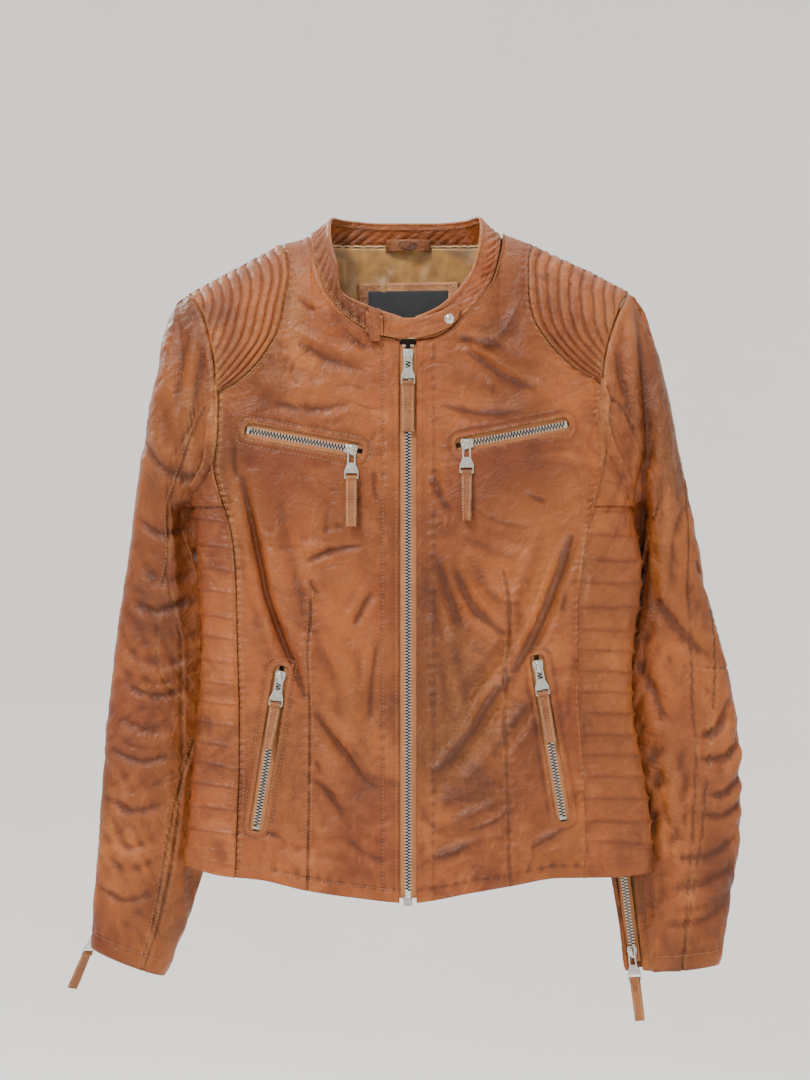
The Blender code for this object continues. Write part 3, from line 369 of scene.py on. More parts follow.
def seam(d, along, amp=1.5, pucker=0.5, seed=0, reach=7.0, pitch=7.5):
    """height near a sewn edge: the leather rolls down into the seam, with puckers across it"""
    roll = -amp * np.exp(-(d / 1.5) ** 2) + 0.35 * amp * np.exp(-((d - 3.6) / 2.2) ** 2)
    ph = along / pitch * 2 * math.pi + 2.2 * vnoise(along / 23.0, along * 0 + seed * 1.7, seed)
    a = 0.35 + 0.65 * (0.5 + 0.5 * vnoise(along / 31.0, along * 0 + 9.1, seed + 3))
    return roll + pucker * a * np.sin(ph) * np.exp(-(d / reach) ** 2) * np.minimum(1, d / 1.2)

class Stitcher:
    def __init__(s): s.v, s.f = [], []
    def run(s, pts, nrm, pitch=0.0034, length=0.0025, r=0.00042, lift=0.00012):
        pts = np.asarray(pts, float); nrm = np.asarray(nrm, float)
        if len(pts) < 3: return
        seg = np.linalg.norm(np.diff(pts, axis=0), axis=1); cum = np.concatenate([[0], np.cumsum(seg)])
        n = int(cum[-1] / pitch)
        if n < 1: return
        for k in range(n):
            a, b = k * pitch + (pitch - length) / 2, k * pitch + (pitch + length) / 2
            pa = np.array([np.interp(a, cum, pts[:, i]) for i in range(3)]); pb = np.array([np.interp(b, cum, pts[:, i]) for i in range(3)])
            nn = np.array([np.interp((a + b) / 2, cum, nrm[:, i]) for i in range(3)]); nn /= np.linalg.norm(nn) + 1e-12
            t = pb - pa; t /= np.linalg.norm(t) + 1e-12; w = np.cross(nn, t); w /= np.linalg.norm(w) + 1e-12
            base = len(s.v); m = (pa + pb) / 2
            for q, rr, up in ((pa, 0.35, -0.8), (m - (pb - pa) * 0.22, 1.0, 0.35), (m + (pb - pa) * 0.22, 1.0, 0.35), (pb, 0.35, -0.8)):
                c = q + nn * (lift + up * r)
                for j in range(5):
                    an = 2 * math.pi * j / 5
                    s.v.append(c + (w * math.cos(an) + nn * math.sin(an)) * r * rr)
            for i in range(3):
                for j in range(5):
                    a0, a1 = base + i * 5 + j, base + i * 5 + (j + 1) % 5
                    s.f.append((a0, a1, a1 + 5, a0 + 5))
            s.f.append(tuple(base + j for j in (4, 3, 2, 1, 0))); s.f.append(tuple(base + 15 + j for j in range(5)))
    def build(s, name, mat, body=BODY):
        if not s.v: return None
        me = bpy.data.meshes.new(name); me.from_pydata([tuple(p) for p in s.v], [], s.f); me.update()
        me.polygons.foreach_set("use_smooth", np.ones(len(me.polygons), bool))
        ob = link(bpy.data.objects.new(name, me)); me.materials.append(mat)
        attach(ob, body); return ob
ST = Stitcher()

def iso(P, N, F, level, axis=1, lo=None, hi=None, mask=None):
    """points on the grid where field F crosses level, one per line of the other axis (axis=1: walk along rows)"""
    pts, nr = [], []
    A = F if axis == 1 else F.T
    PP = P if axis == 1 else P.transpose(1, 0, 2); NN = N if axis == 1 else N.transpose(1, 0, 2)
    MM = None if mask is None else (mask if axis == 1 else mask.T)
    for i in range(A.shape[0]):
        g = A[i] - level; c = np.where(g[:-1] * g[1:] <= 0)[0]
        if not len(c): continue
        j = c[0]; t = g[j] / (g[j] - g[j + 1] + 1e-12)
        if MM is not None and not MM[i, j]: continue
        pts.append(PP[i, j] * (1 - t) + PP[i, j + 1] * t); nr.append(NN[i, j])
    return pts, nr

def stitch_edge(P, N, D, off, mask=None, axis=1):
    a, b = iso(P, N, D, off, axis, mask=mask)
    if len(a) > 3: ST.run(a, b)

# ------------------------------------------------------------------------------------- colour by place
def tone_of(u, v, seed=0):
    r = 0.45 + 0.55 * fbm(u / 95.0, v / 120.0, seed + 1)
    g = 0.30 + 0.60 * fbm(u / 70.0 + 5, v / 110.0, seed + 2)
    b = 0.18 + 0.65 * fbm(u / 85.0 + 9, v / 150.0, seed + 4)
    for (cu, cv, ru, rv, k, a) in TONES:
        w = a * np.exp(-((u - cu) / ru) ** 2 - ((v - cv) / rv) ** 2)
        if k == 0: r = r + w
        elif k == 1: g = g + w
        else: b = b + w
    return np.stack([r, g, b], axis=-1)
TONES = [(345,560,55,90,2,.35),(470,470,60,60,0,.3),(300,560,60,80,0,.35),(240,600,30,60,0,.25),(260,370,50,40,1,.25),(330,720,40,80,1,.2),
         (540,640,40,90,1,.3),(480,700,40,90,1,.25),(430,560,20,140,2,.3),(390,560,18,160,2,.25),(205,700,30,120,0,.25),(620,760,40,90,1,.3),
         (120,700,50,160,0,.25),(700,450,45,120,1,.35),(690,700,50,100,0,.2),(160,400,60,90,1,.3),(500,320,60,60,1,.3),(590,330,40,40,1,.25),
         (408,700,60,160,2,.25),(560,540,25,90,2,.25),(270,520,22,90,2,.25),(700,930,40,50,1,.45),(130,900,50,80,1,.2),(390,850,80,40,0,.3)]
WEARS = [(295,300,9,70,.5),(217,410,5,60,.8),(188,430,5,40,.7),(470,690,40,70,.18),(540,600,30,60,.15),(300,760,60,60,.10),(670,500,12,60,.15),
         (585,560,6,60,.3),(235,560,5,80,.35),(440,760,60,60,.12),(690,800,25,60,.12),(330,380,60,40,.1),(165,870,6,90,.35),(605,400,8,40,.5)]
# strength of the painted shade in creases and hollows, set per group of panels
CREASE_SHADE = [1.0]
def wear_and_shade_of(u, v, h, cav, edge, seed=0):
    """r: rubbed pale, g: painted shade in creases and hollows plus random dirt patches.  h: height in mm, edge:
    nearness of a seam 0..1
    """
    r = np.clip(h / 3.0, 0, 1) * 0.16 + edge * (0.10 + 0.42 * np.clip(fbm(u / 22.0, v / 22.0, seed + 8), 0, 1))
    for cu, cv, ru, rv, a in WEARS:
        r = r + a * np.exp(-((u - cu) / ru) ** 2 - ((v - cv) / rv) ** 2)
    s = np.clip(fbm(u / 7.0 + 3 + v / 30.0, v / 26.0, seed + 12) - 1.0, 0, 1) * 0.9
    r = r + s
    # g: painted shade where the surface lies below its blurred height (creases, seams, quilt lines), plus random dirt
    # patches
    g = np.clip(-cav / 1.2, 0, 1) * 0.95 * CREASE_SHADE[0] + np.clip(fbm(u / 60.0, v / 60.0, seed + 20) - 0.55, 0, 1) * 0.5
    return np.stack([r, g, g * 0], axis=-1)

# =====================================================================================
# folds of the front, drawn once for all front panels: (points, width in units, height in mm)
FOLDS = [
 ([(240,472),(251,520),(258,556),(265,592),(274,619),(288,654),(301,686),(308,704)], 6, -4.2),
 ([(314,711),(330,733),(347,754),(365,779),(380,788)], 7, -3.4),
 ([(258,470),(268,520),(277,560),(290,605),(306,650),(322,690)], 9, 2.6),
 ([(372,592),(362,610),(354,626)], 5, -2.4), ([(304,551),(330,540),(361,535)], 7, 2.2), ([(306,561),(332,551),(362,545)], 4, -1.6),
 ([(374,472),(374,487),(377,502)], 4, -1.8), ([(310,579),(313,587),(319,594)], 4, -1.6), ([(258,829),(270,833),(281,838)], 4, -1.8),
 ([(299,299),(306,304),(315,313)], 4, -1.6), ([(234,443),(234,460),(237,479)], 4, -2.0),
 ([(330,640),(345,668),(352,700),(350,735)], 9, 2.0), ([(378,640),(372,680),(371,720)], 5, -1.6), ([(320,745),(345,790),(372,815)], 8, 2.2),
 ([(262,380),(300,388),(345,384)], 10, 1.6), ([(268,402),(310,410),(352,404)], 6, -1.6), ([(300,345),(330,362),(368,372)], 7, -1.6), ([(296,330),(330,347),(375,358)], 6, 1.4),
 ([(330,300),(345,330),(372,352)], 5, -1.2), ([(352,470),(346,500),(350,540)], 7, 1.5), ([(330,500),(326,530),(332,560)], 5, -1.4),
 ([(275,640),(262,600),(255,560)], 4, 1.2), ([(300,770),(330,795),(350,830)], 5, -1.6), ([(345,835),(365,852),(392,862)], 6, -1.6), ([(275,850),(310,862),(350,868)], 7, 1.3),
 # the other front
 ([(571,533),(561,565),(550,595),(537,627),(525,651),(514,672)], 6, -4.2), ([(514,672),(489,699),(471,729),(445,761),(427,776)], 7, -3.6),
 ([(556,530),(546,560),(534,592),(520,625),(505,655),(482,686),(460,712)], 9, 2.8), ([(524,690),(500,716),(482,744),(456,775),(436,790)], 8, 2.2),
 ([(564,583),(563,597),(561,610)], 4, -1.8), ([(429,476),(441,499),(450,511)], 5, -2.4), ([(440,470),(452,492),(462,505)], 6, 1.8),
 ([(436,556),(448,588),(461,627)], 6, -2.6), ([(448,556),(468,601),(493,626),(505,633)], 6, -2.4), ([(428,560),(438,600),(450,640)], 6, 1.8), ([(460,560),(480,596),(508,618)], 7, 2.2),
 ([(525,492),(535,498),(546,502)], 5, -2.4), ([(464,349),(482,362),(500,375),(536,391)], 6, -2.4), ([(470,340),(500,362),(540,380)], 7, 1.6), ([(452,336),(478,342),(507,349)], 5, -1.8),
 ([(430,858),(450,852),(468,844)], 5, -2.0), ([(530,847),(548,836),(566,826)], 5, -2.0), ([(432,842),(455,836),(480,826)], 7, 1.6),
 ([(440,640),(452,680),(455,715)], 7, 1.8), ([(425,640),(430,680),(433,720)], 4, -1.5), ([(470,520),(500,540),(530,548)], 8, 1.8), ([(466,505),(495,520),(528,527)], 5, -1.6),
 ([(445,385),(480,398),(525,402)], 9, 1.7), ([(440,405),(480,414),(520,412)], 5, -1.4), ([(520,300),(505,330),(480,350)], 6, -1.4), ([(540,700),(520,730),(500,760)], 6, 1.5),
 ([(510,780),(480,800),(445,815)], 7, 1.7), ([(520,800),(490,822),(455,832)], 5, -1.5), ([(585,640),(578,680),(574,720)], 5, 1.2),
]
DART_L = [(310,581),(311,615),(308,654),(310,708),(310,765),(309,819),(308,890)]
DART_R = [(500,558),(507,594),(508,619),(507,645),(505,672),(504,720),(505,747),(507,801),(508,854),(510,885)]
POCKETS = {"chest_zip_l": ((361, 451.5), (247, 430.5)), "chest_zip_r": ((457, 446), (567, 424.5)),
           "pocket_zip_l": ((282, 667), (256, 829)), "pocket_zip_r": ((536, 656), (563, 819))}

def crumple(u, v, seed, amp=1.0, ax=1.0, ay=1.0):
    """the hide's own unevenness: broad swells, ridged wrinkles and fine creases, in mm"""
    w = fbm(u / 70.0 * ax + 0.35 * vnoise(u / 60, v / 60, seed + 5), v / 62.0 * ay, seed, 3) * 1.25
    r = 1 - np.abs(fbm(u / 24.0 * ax, v / 30.0 * ay, seed + 31, 3))
    m = np.clip(fbm(u / 90.0, v / 90.0, seed + 40) + 0.35, 0, 1)
    f = 1 - np.abs(vnoise(u / 8.5 * ax, v / 10.0 * ay, seed + 51) + 0.5 * vnoise(u / 4.3, v / 4.8, seed + 52))
    qx = vnoise(u / 34.0, v / 34.0, seed + 61); qy = vnoise(u / 34.0 + 7, v / 34.0, seed + 62)
    c1 = (1 - np.abs(vnoise(u / 17.0 * ax + 1.5 * qx, v / 26.0 * ay + 1.5 * qy, seed + 63))) ** 5
    c2 = (1 - np.abs(vnoise(u / 30.0 * ax + 1.2 * qy, v / 14.0 * ay + 1.2 * qx, seed + 64))) ** 5
    m2 = np.clip(fbm(u / 70.0 + 4, v / 70.0, seed + 65) + 0.25, 0, 1); m3 = np.clip(fbm(u / 60.0 + 9, v / 60.0, seed + 66) + 0.2, 0, 1)
    return amp * (0.8 * w + 0.75 * m * (r - 0.6) * 1.6 + 0.30 * (0.4 + m) * (f - 0.5) + 1.5 * m2 * c1 - 1.3 * m3 * c2)

def finish_panel(name, U, V, P, h, edges, seed, node, mat=M_LEATHER, body=BODY, extra=None, thick=0.0012, flip=False, closed=False, sign=1.0):
    """displace a grid along its normal, colour it, and keep normals for the stitching"""
    FLAT[name] = flat_size(P)
    N = normals(P) * sign
    Q = P + N * (h * 0.001)[..., None]
    # depth below the blurred surface; it paints shade into creases and hollows
    cav = h - box_blur(h, 6)
    edge = np.zeros(h.shape)
    for d in edges: edge = np.maximum(edge, np.exp(-((d - 0.8) / 1.8) ** 2))
    tone = tone_of(U, V, seed); wear_and_shade = wear_and_shade_of(U, V, h, cav, edge, seed)
    if extra is not None: wear_and_shade = np.clip(wear_and_shade + extra, 0, 1)
    ob = grid_object(name, Q, mat, dict(tone=tone, wear_and_shade=wear_and_shade), thick=thick, flip=flip, closed=closed)
    N2 = normals(Q) * sign
    return ob, Q, N2

def box_blur(h, r):
    k = np.ones(2 * r + 1) / (2 * r + 1)
    p = np.pad(h, r, mode="edge")
    p = np.apply_along_axis(lambda a: np.convolve(a, k, mode="valid"), 0, p)
    return np.apply_along_axis(lambda a: np.convolve(a, k, mode="valid"), 1, p)

def cutter_slot(frame, L, half=0.0066, r=0.0045):
    """a rounded slot through the leather, in a zip's own frame"""
    bm = bmesh.new(); ring = []
    y0, y1 = 0.0013, -L - 0.0013
    for (cx, cy, a0) in ((half - r, y0 - r, 0), (-half + r, y0 - r, 90), (-half + r, y1 + r, 180), (half - r, y1 + r, 270)):
        for k in range(7):
            a = math.radians(a0 + 15 * k); ring.append((cx + r * math.cos(a), cy + r * math.sin(a)))
    lo = [bm.verts.new((x, y, -0.020)) for x, y in ring]; hi = [bm.verts.new((x, y, 0.020)) for x, y in ring]
    n = len(ring)
    for i in range(n): bm.faces.new((lo[i], lo[(i+1) % n], hi[(i+1) % n], hi[i]))
    bm.faces.new(lo[::-1]); bm.faces.new(hi); bm.transform(frame)
    me = bpy.data.meshes.new("cut"); bm.to_mesh(me); bm.free()
    return link(bpy.data.objects.new("cut", me))

def apply_mods(ob):
    dg = bpy.context.evaluated_depsgraph_get(); ev = ob.evaluated_get(dg)
    me = bpy.data.meshes.new_from_object(ev, preserve_all_data_layers=True, depsgraph=dg)
    ob.modifiers.clear(); ob.data = me
    return ob

def cut_slot(ob, frame, L):
    c = cutter_slot(frame, L)
    m = ob.modifiers.new("cut", "BOOLEAN"); m.operation = "DIFFERENCE"; m.solver = "EXACT"; m.object = c
    apply_mods(ob); bpy.data.objects.remove(c)

# ------------------------------------------------------------------------------------- zip frames
def zip_frame(p0, p1, normal):
    p0, p1 = Vector(p0), Vector(p1)
    y = (p0 - p1).normalized(); n = Vector(normal); n = (n - y * n.dot(y)).normalized(); x = y.cross(n).normalized()
    return Matrix(((x.x, y.x, n.x, p0[0]), (x.y, y.y, n.y, p0[1]), (x.z, y.z, n.z, p0[2]), (0, 0, 0, 1)))
def lerp_tab(pts):
    x = np.array([p[0] for p in pts], float); y = np.array([p[1] for p in pts], float)
    return x, y
# the frame's own straight-line tables fix where the zips sit
FL = lerp_tab([(210,150),(345,150),(395,155),(434,166),(463,178),(497,190),(547,194),(601,197),(645,200),(708,196),(765,191),(819,187),(867,183),(905,181)])
FR = lerp_tab([(210,668),(345,668),(395,664),(434,655),(463,645),(499,634),(533,639),(565,644),(601,643),(628,638),(690,634),(720,636),(765,644),(801,650),(836,654),(905,657)])
def body_pt(u, v, front=True):
    l, r = np.interp(v, *FL), np.interp(v, *FR)
    c, w = (l + r) / 2, (r - l) / 2; q = min(1.0, abs(u - c) / w); f = (1 - q ** SECT) ** (1 / SECT)
    t = min(1.0, max(0.0, (v - float(ridge(u))) * UNIT / SHOULDER_R)); T = math.sqrt(max(0, 1 - (1 - t) ** 2))
    return Vector((X(u), (-DEPTH_F if front else DEPTH_B) * f * T - 0.012 * q * q * min(1.0, t * 3), Z(v)))
def front_frame(a, b):
    pa, pb = body_pt(*a), body_pt(*b)
    m = ((a[0] + b[0]) / 2, (a[1] + b[1]) / 2)
    n = (body_pt(m[0] + 8, m[1]) - body_pt(m[0] - 8, m[1])).cross(body_pt(m[0], m[1] - 8) - body_pt(m[0], m[1] + 8)).normalized()
    if n.y > 0: n = -n
    return zip_frame(pa, pb, n), (pa - pb).length
FRAMES = {z: front_frame(*ab) for z, ab in POCKETS.items()}
YF = float(depth(408, 500, True)); ML = (897 - 345) * UNIT
FRAMES["main_zip"] = (zip_frame((X(408), YF, Z(345)), (X(408), YF, Z(897)), (0, -1, 0)), ML)

def pocket_shape(U, V, P, h, left):
    """lips round each slot: brought to the zip's plane, raised a little, with a welt line 7 mm out"""
    out = h.copy(); dist = np.full(h.shape, 99.0)
    for z, (f, L) in FRAMES.items():
        if z == "main_zip" or (z.endswith("_l") != left): continue
        inv = np.array(f.inverted())
        q = P @ inv[:3, :3].T + inv[:3, 3]
        x, y = q[..., 0] * 1000, q[..., 1] * 1000; L1 = L * 1000
        dx = np.maximum(np.abs(x) - (6.6 - 4.5), 0); dy = np.maximum(np.maximum(y + 4.5 - 1.3, -L1 - 1.3 + 4.5 - y), 0)
        d = np.hypot(dx, dy) - 4.5          # distance outside the slot
        k = np.exp(-(np.maximum(d, 0) / 5.5) ** 2)
        flat = -q[..., 2] * 1000            # what brings the leather to the zip's plane
        lip = 0.5 * np.exp(-((d - 0.8) / 1.0) ** 2) + 0.95 * np.exp(-((d - 3.4) / 1.7) ** 2) - 0.7 * np.exp(-((d - 6.3) / 1.1) ** 2)
        wob = 0.35 * vnoise(x / 11.0, y / 13.0, 77) * np.exp(-((d - 5) / 4.0) ** 2)
        out = out * (1 - k) + k * flat + lip + wob
        # folds stay below the way of the hanging puller and tab
        if z.startswith("pocket"):
            far = (np.maximum(np.abs(x) - 8.5, 0) / 3.5) ** 2 + (np.maximum(-y - L1 - 78, 0) / 5.0) ** 2 + (np.maximum(y + L1 - 3, 0) / 1.5) ** 2
        else:
            top = np.array(f @ Vector((0, 0, 0))); low = np.array(f @ Vector((0, -L, 0)))
            s = np.clip((P[..., 0] - top[0]) / (low[0] - top[0]), 0, 1); line = top[2] + (low[2] - top[2]) * s
            side = np.maximum(np.maximum(min(top[0], low[0]) - P[..., 0], P[..., 0] - max(top[0], low[0])) * 1000 - 8.5, 0)
            below = (line - P[..., 2]) * 1000
            far = (side / 3.5) ** 2 + (np.maximum(8 - below, 0) / 1.5) ** 2 + (np.maximum(below - 84, 0) / 5.0) ** 2
        m = out - (flat + 0.1 + np.minimum(far, 30.0))
        out = out - (m + np.sqrt(m * m + 0.16)) / 2
        dist = np.minimum(dist, np.maximum(d, 0))
    return out, dist

PADDED, SHEETS, LEATHER_AREAS = [], [], {}
STEP = 1.75

def front_panel(left):
    seed = 3 if left else 11
    vtop_out, vtop_in = (240.3, 233.5) if left else (241.3, 230.8)
    seam_f = seam_l if left else seam_r
    neck = neck_l if left else neck_r
    hem_o, hem_i = (float(hem(234)), float(hem(401))) if left else (float(hem(584)), float(hem(415)))
    nt, ns = 500, (124 if left else 128)
    t = np.concatenate([np.linspace(0, 0.02, 12)[:-1], np.linspace(0.02, 1, nt)])
    s = np.linspace(0, 1, ns)
    vo = vtop_out + (hem_o - vtop_out) * t; vi = vtop_in + (hem_i - vtop_in) * t
    edge_u = np.where(vi < 341.5, neck(vi), 399.6 if left else 416.4)
    S, T = np.meshgrid(s, t)
    a_u = seam_f(vo)[:, None]; b_u = edge_u[:, None]
    U = a_u + (b_u - a_u) * S; V0_ = vo[:, None] * (1 - S) + vi[:, None] * S
    hm = hem(U)
    w = np.clip((T - 0.9) / 0.1, 0, 1)
    V = V0_ * (1 - w) + w * (hm - (hem_o * (1 - S) + hem_i * S) + V0_)
    P = np.stack([X(U), depth(U, V, True), Z(V)], axis=-1)
    dl, dr, dt, db = edge_dist(P)
    h = crumple(U, V, seed, 0.62) + strokes(U, V, FOLDS)
    centre = dr                                                   # the zip edge
    h *= np.clip(centre / 22.0, 0.15, 1) * np.clip((db) / 10.0, 0.2, 1)
    h *= np.clip((V - 225) / 60.0, 0.25, 1)
    h = np.clip(h, -5.5, 4.2)
    # darts
    dd, ff, sg = line_dist(U, V, DART_L if left else DART_R, 3)
    dd = dd * 0.9
    inside = (ff > 0.0005)
    grow = np.clip(ff / 0.08, 0, 1) * inside
    along = V * 0.9
    h += grow * (-1.5 * np.exp(-(dd / 1.1) ** 2) + 0.45 * np.exp(-((dd - 3.2) / 2.0) ** 2) + 0.4 * np.sin(along / 8.5 * 6.28 + 1.5 * vnoise(along / 20, along * 0, seed)) * np.exp(-(dd / 8) ** 2) * np.minimum(1, dd))
    # edges
    h += seam(dl, along, 0.8, 0.95, seed, 6.5, 6.6)
    neck_part = V < 343
    h += np.where(neck_part, seam(dr, along, 0.9, 0.25, seed + 1, 5.0, 7.0), -0.5 * np.exp(-(dr / 1.2) ** 2))
    # the facing's topstitch groove, the band beside the zip, and the hem's fold
    band = np.where(neck_part, 0, 1.0)
    h += band * (-0.55 * np.exp(-((dr - 15.0) / 1.3) ** 2) + 0.50 * np.exp(-((dr - 11.0) / 3.0) ** 2) - 0.25 * np.exp(-((dr - 5.0) / 1.0) ** 2)
                 + 0.55 * np.sin(along / 9.5 * 6.28 + 2.0 * vnoise(along / 28, along * 0, seed + 6)) * np.exp(-((dr - 13.5) / 5.0) ** 2) * (0.4 + 0.6 * vnoise(along / 37, along * 0 + 3, seed + 7)))
    h += -0.6 * np.exp(-((db - 11.5) / 1.3) ** 2) + 0.4 * np.exp(-((db - 6) / 3.5) ** 2) - 0.7 * np.exp(-(db / 0.9) ** 2)
    h += 0.4 * np.sin(U * 0.9 / 10.0 * 6.28 + 2 * vnoise(U / 30, U * 0, seed + 9)) * np.exp(-((db - 12) / 5) ** 2)
    h, pd = pocket_shape(U, V, P, h, left)
    side = "l" if left else "r"
    ob, Q, N = finish_panel("shell_front_" + side, U, V, P, h, [dl, np.where(neck_part, dr, 99), np.where(inside, dd + 0.5, 99), pd], seed, None)
    for off in (2.3, 6.0): stitch_edge(Q, N, dl, off)
    stitch_edge(Q, N, dr, 3.0, mask=None)
    m = V > 346
    for off in (15.0,): stitch_edge(Q, N, dr, off, mask=m)
    stitch_edge(Q, N, db, 11.5, axis=0)
    sd = np.where(inside, sg * dd, 99)
    dm = (ff > 0.03) & (dd < 8)
    stitch_edge(Q, N, sg * dd, 2.2, mask=dm); stitch_edge(Q, N, sg * dd, -2.2, mask=dm)
    apply_mods(ob)
    for z, (f, L) in FRAMES.items():
        if z == "main_zip" or (z.endswith("_l") != left): continue
        cut_slot(ob, f, L)
        # two rows of stitches round the slot
        inv = np.array(f.inverted()); q = Q @ inv[:3, :3].T + inv[:3, 3]
        kd = KDTree(Q.shape[0] * Q.shape[1]); QQ = Q.reshape(-1, 3); NN = N.reshape(-1, 3); qq = q.reshape(-1, 3)
        for i in range(len(QQ)): kd.insert((qq[i, 0], qq[i, 1], 0), i)
        kd.balance()
        for off, r in ((1.8, 4.0), (6.3, 4.5)):
            hw, y0, y1 = 0.0066 + off * 0.001, 0.0013 + off * 0.001, -L - 0.0013 - off * 0.001; r = r * 0.001
            ring = []
            for (cx, cy, a0) in ((hw - r, y0 - r, 0), (-hw + r, y0 - r, 90), (-hw + r, y1 + r, 180), (hw - r, y1 + r, 270)):
                for k in range(7):
                    a = math.radians(a0 + 15 * k); ring.append((cx + r * math.cos(a), cy + r * math.sin(a)))
            ring.append(ring[0]); dense = []
            for i in range(len(ring) - 1):
                n = max(1, int(math.dist(ring[i], ring[i+1]) / 0.0015))
                for k in range(n): dense.append([ring[i][j] + (ring[i+1][j] - ring[i][j]) * k / n for j in (0, 1)])
            dense.append(dense[0]); pp, nn = [], []
            for x, y in dense:
                near = kd.find_n((x, y, 0), 4)
                ws = np.array([1 / (d + 1e-5) for _, _, d in near]); ws /= ws.sum()
                zz = sum(w_ * qq[i, 2] for w_, (_, i, _) in zip(ws, near))
                pp.append(np.array(f @ Vector((x, y, zz)))); nn.append(sum(w_ * NN[i] for w_, (_, i, _) in zip(ws, near)))
            ST.run(pp, nn)
    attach(ob, BODY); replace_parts(ob, "front_panel_" + side)
    return ob
FRONT_L = front_panel(True); FRONT_R = front_panel(False)

# ------------------------------------------------------------------------------------- side panels with quilting
QL = [497,522,548,571,594,619,639,663,685,705,726,747,768,788,811,835]
QR = [482,509,533,557,580,604,627,648,669,690,711,733,754,775,796,819,840]
def quilt(coord, lines, puff, seed, U, V, groove=1.1):
    """ridges between sewn lines: coord runs across the lines, in units"""
    L = np.array(lines, float)
    i = np.clip(np.searchsorted(L, coord, side="right") - 1, -1, len(L) - 1)
    lo = np.where(i < 0, L[0] - (L[1] - L[0]), L[np.clip(i, 0, len(L) - 1)])
    hi = np.where(i >= len(L) - 1, L[-1] + (L[-1] - L[-2]), L[np.clip(i + 1, 0, len(L) - 1)])
    t = np.clip((coord - lo) / (hi - lo), 0, 1)
    d = np.minimum(np.abs(coord - lo), np.abs(hi - coord)) * 0.9
    h = puff * (np.clip(np.sin(math.pi * t), 0, 1) ** 0.55 - 0.25) - 0.8 * groove * np.exp(-(d / 0.75) ** 2)
    return h, d

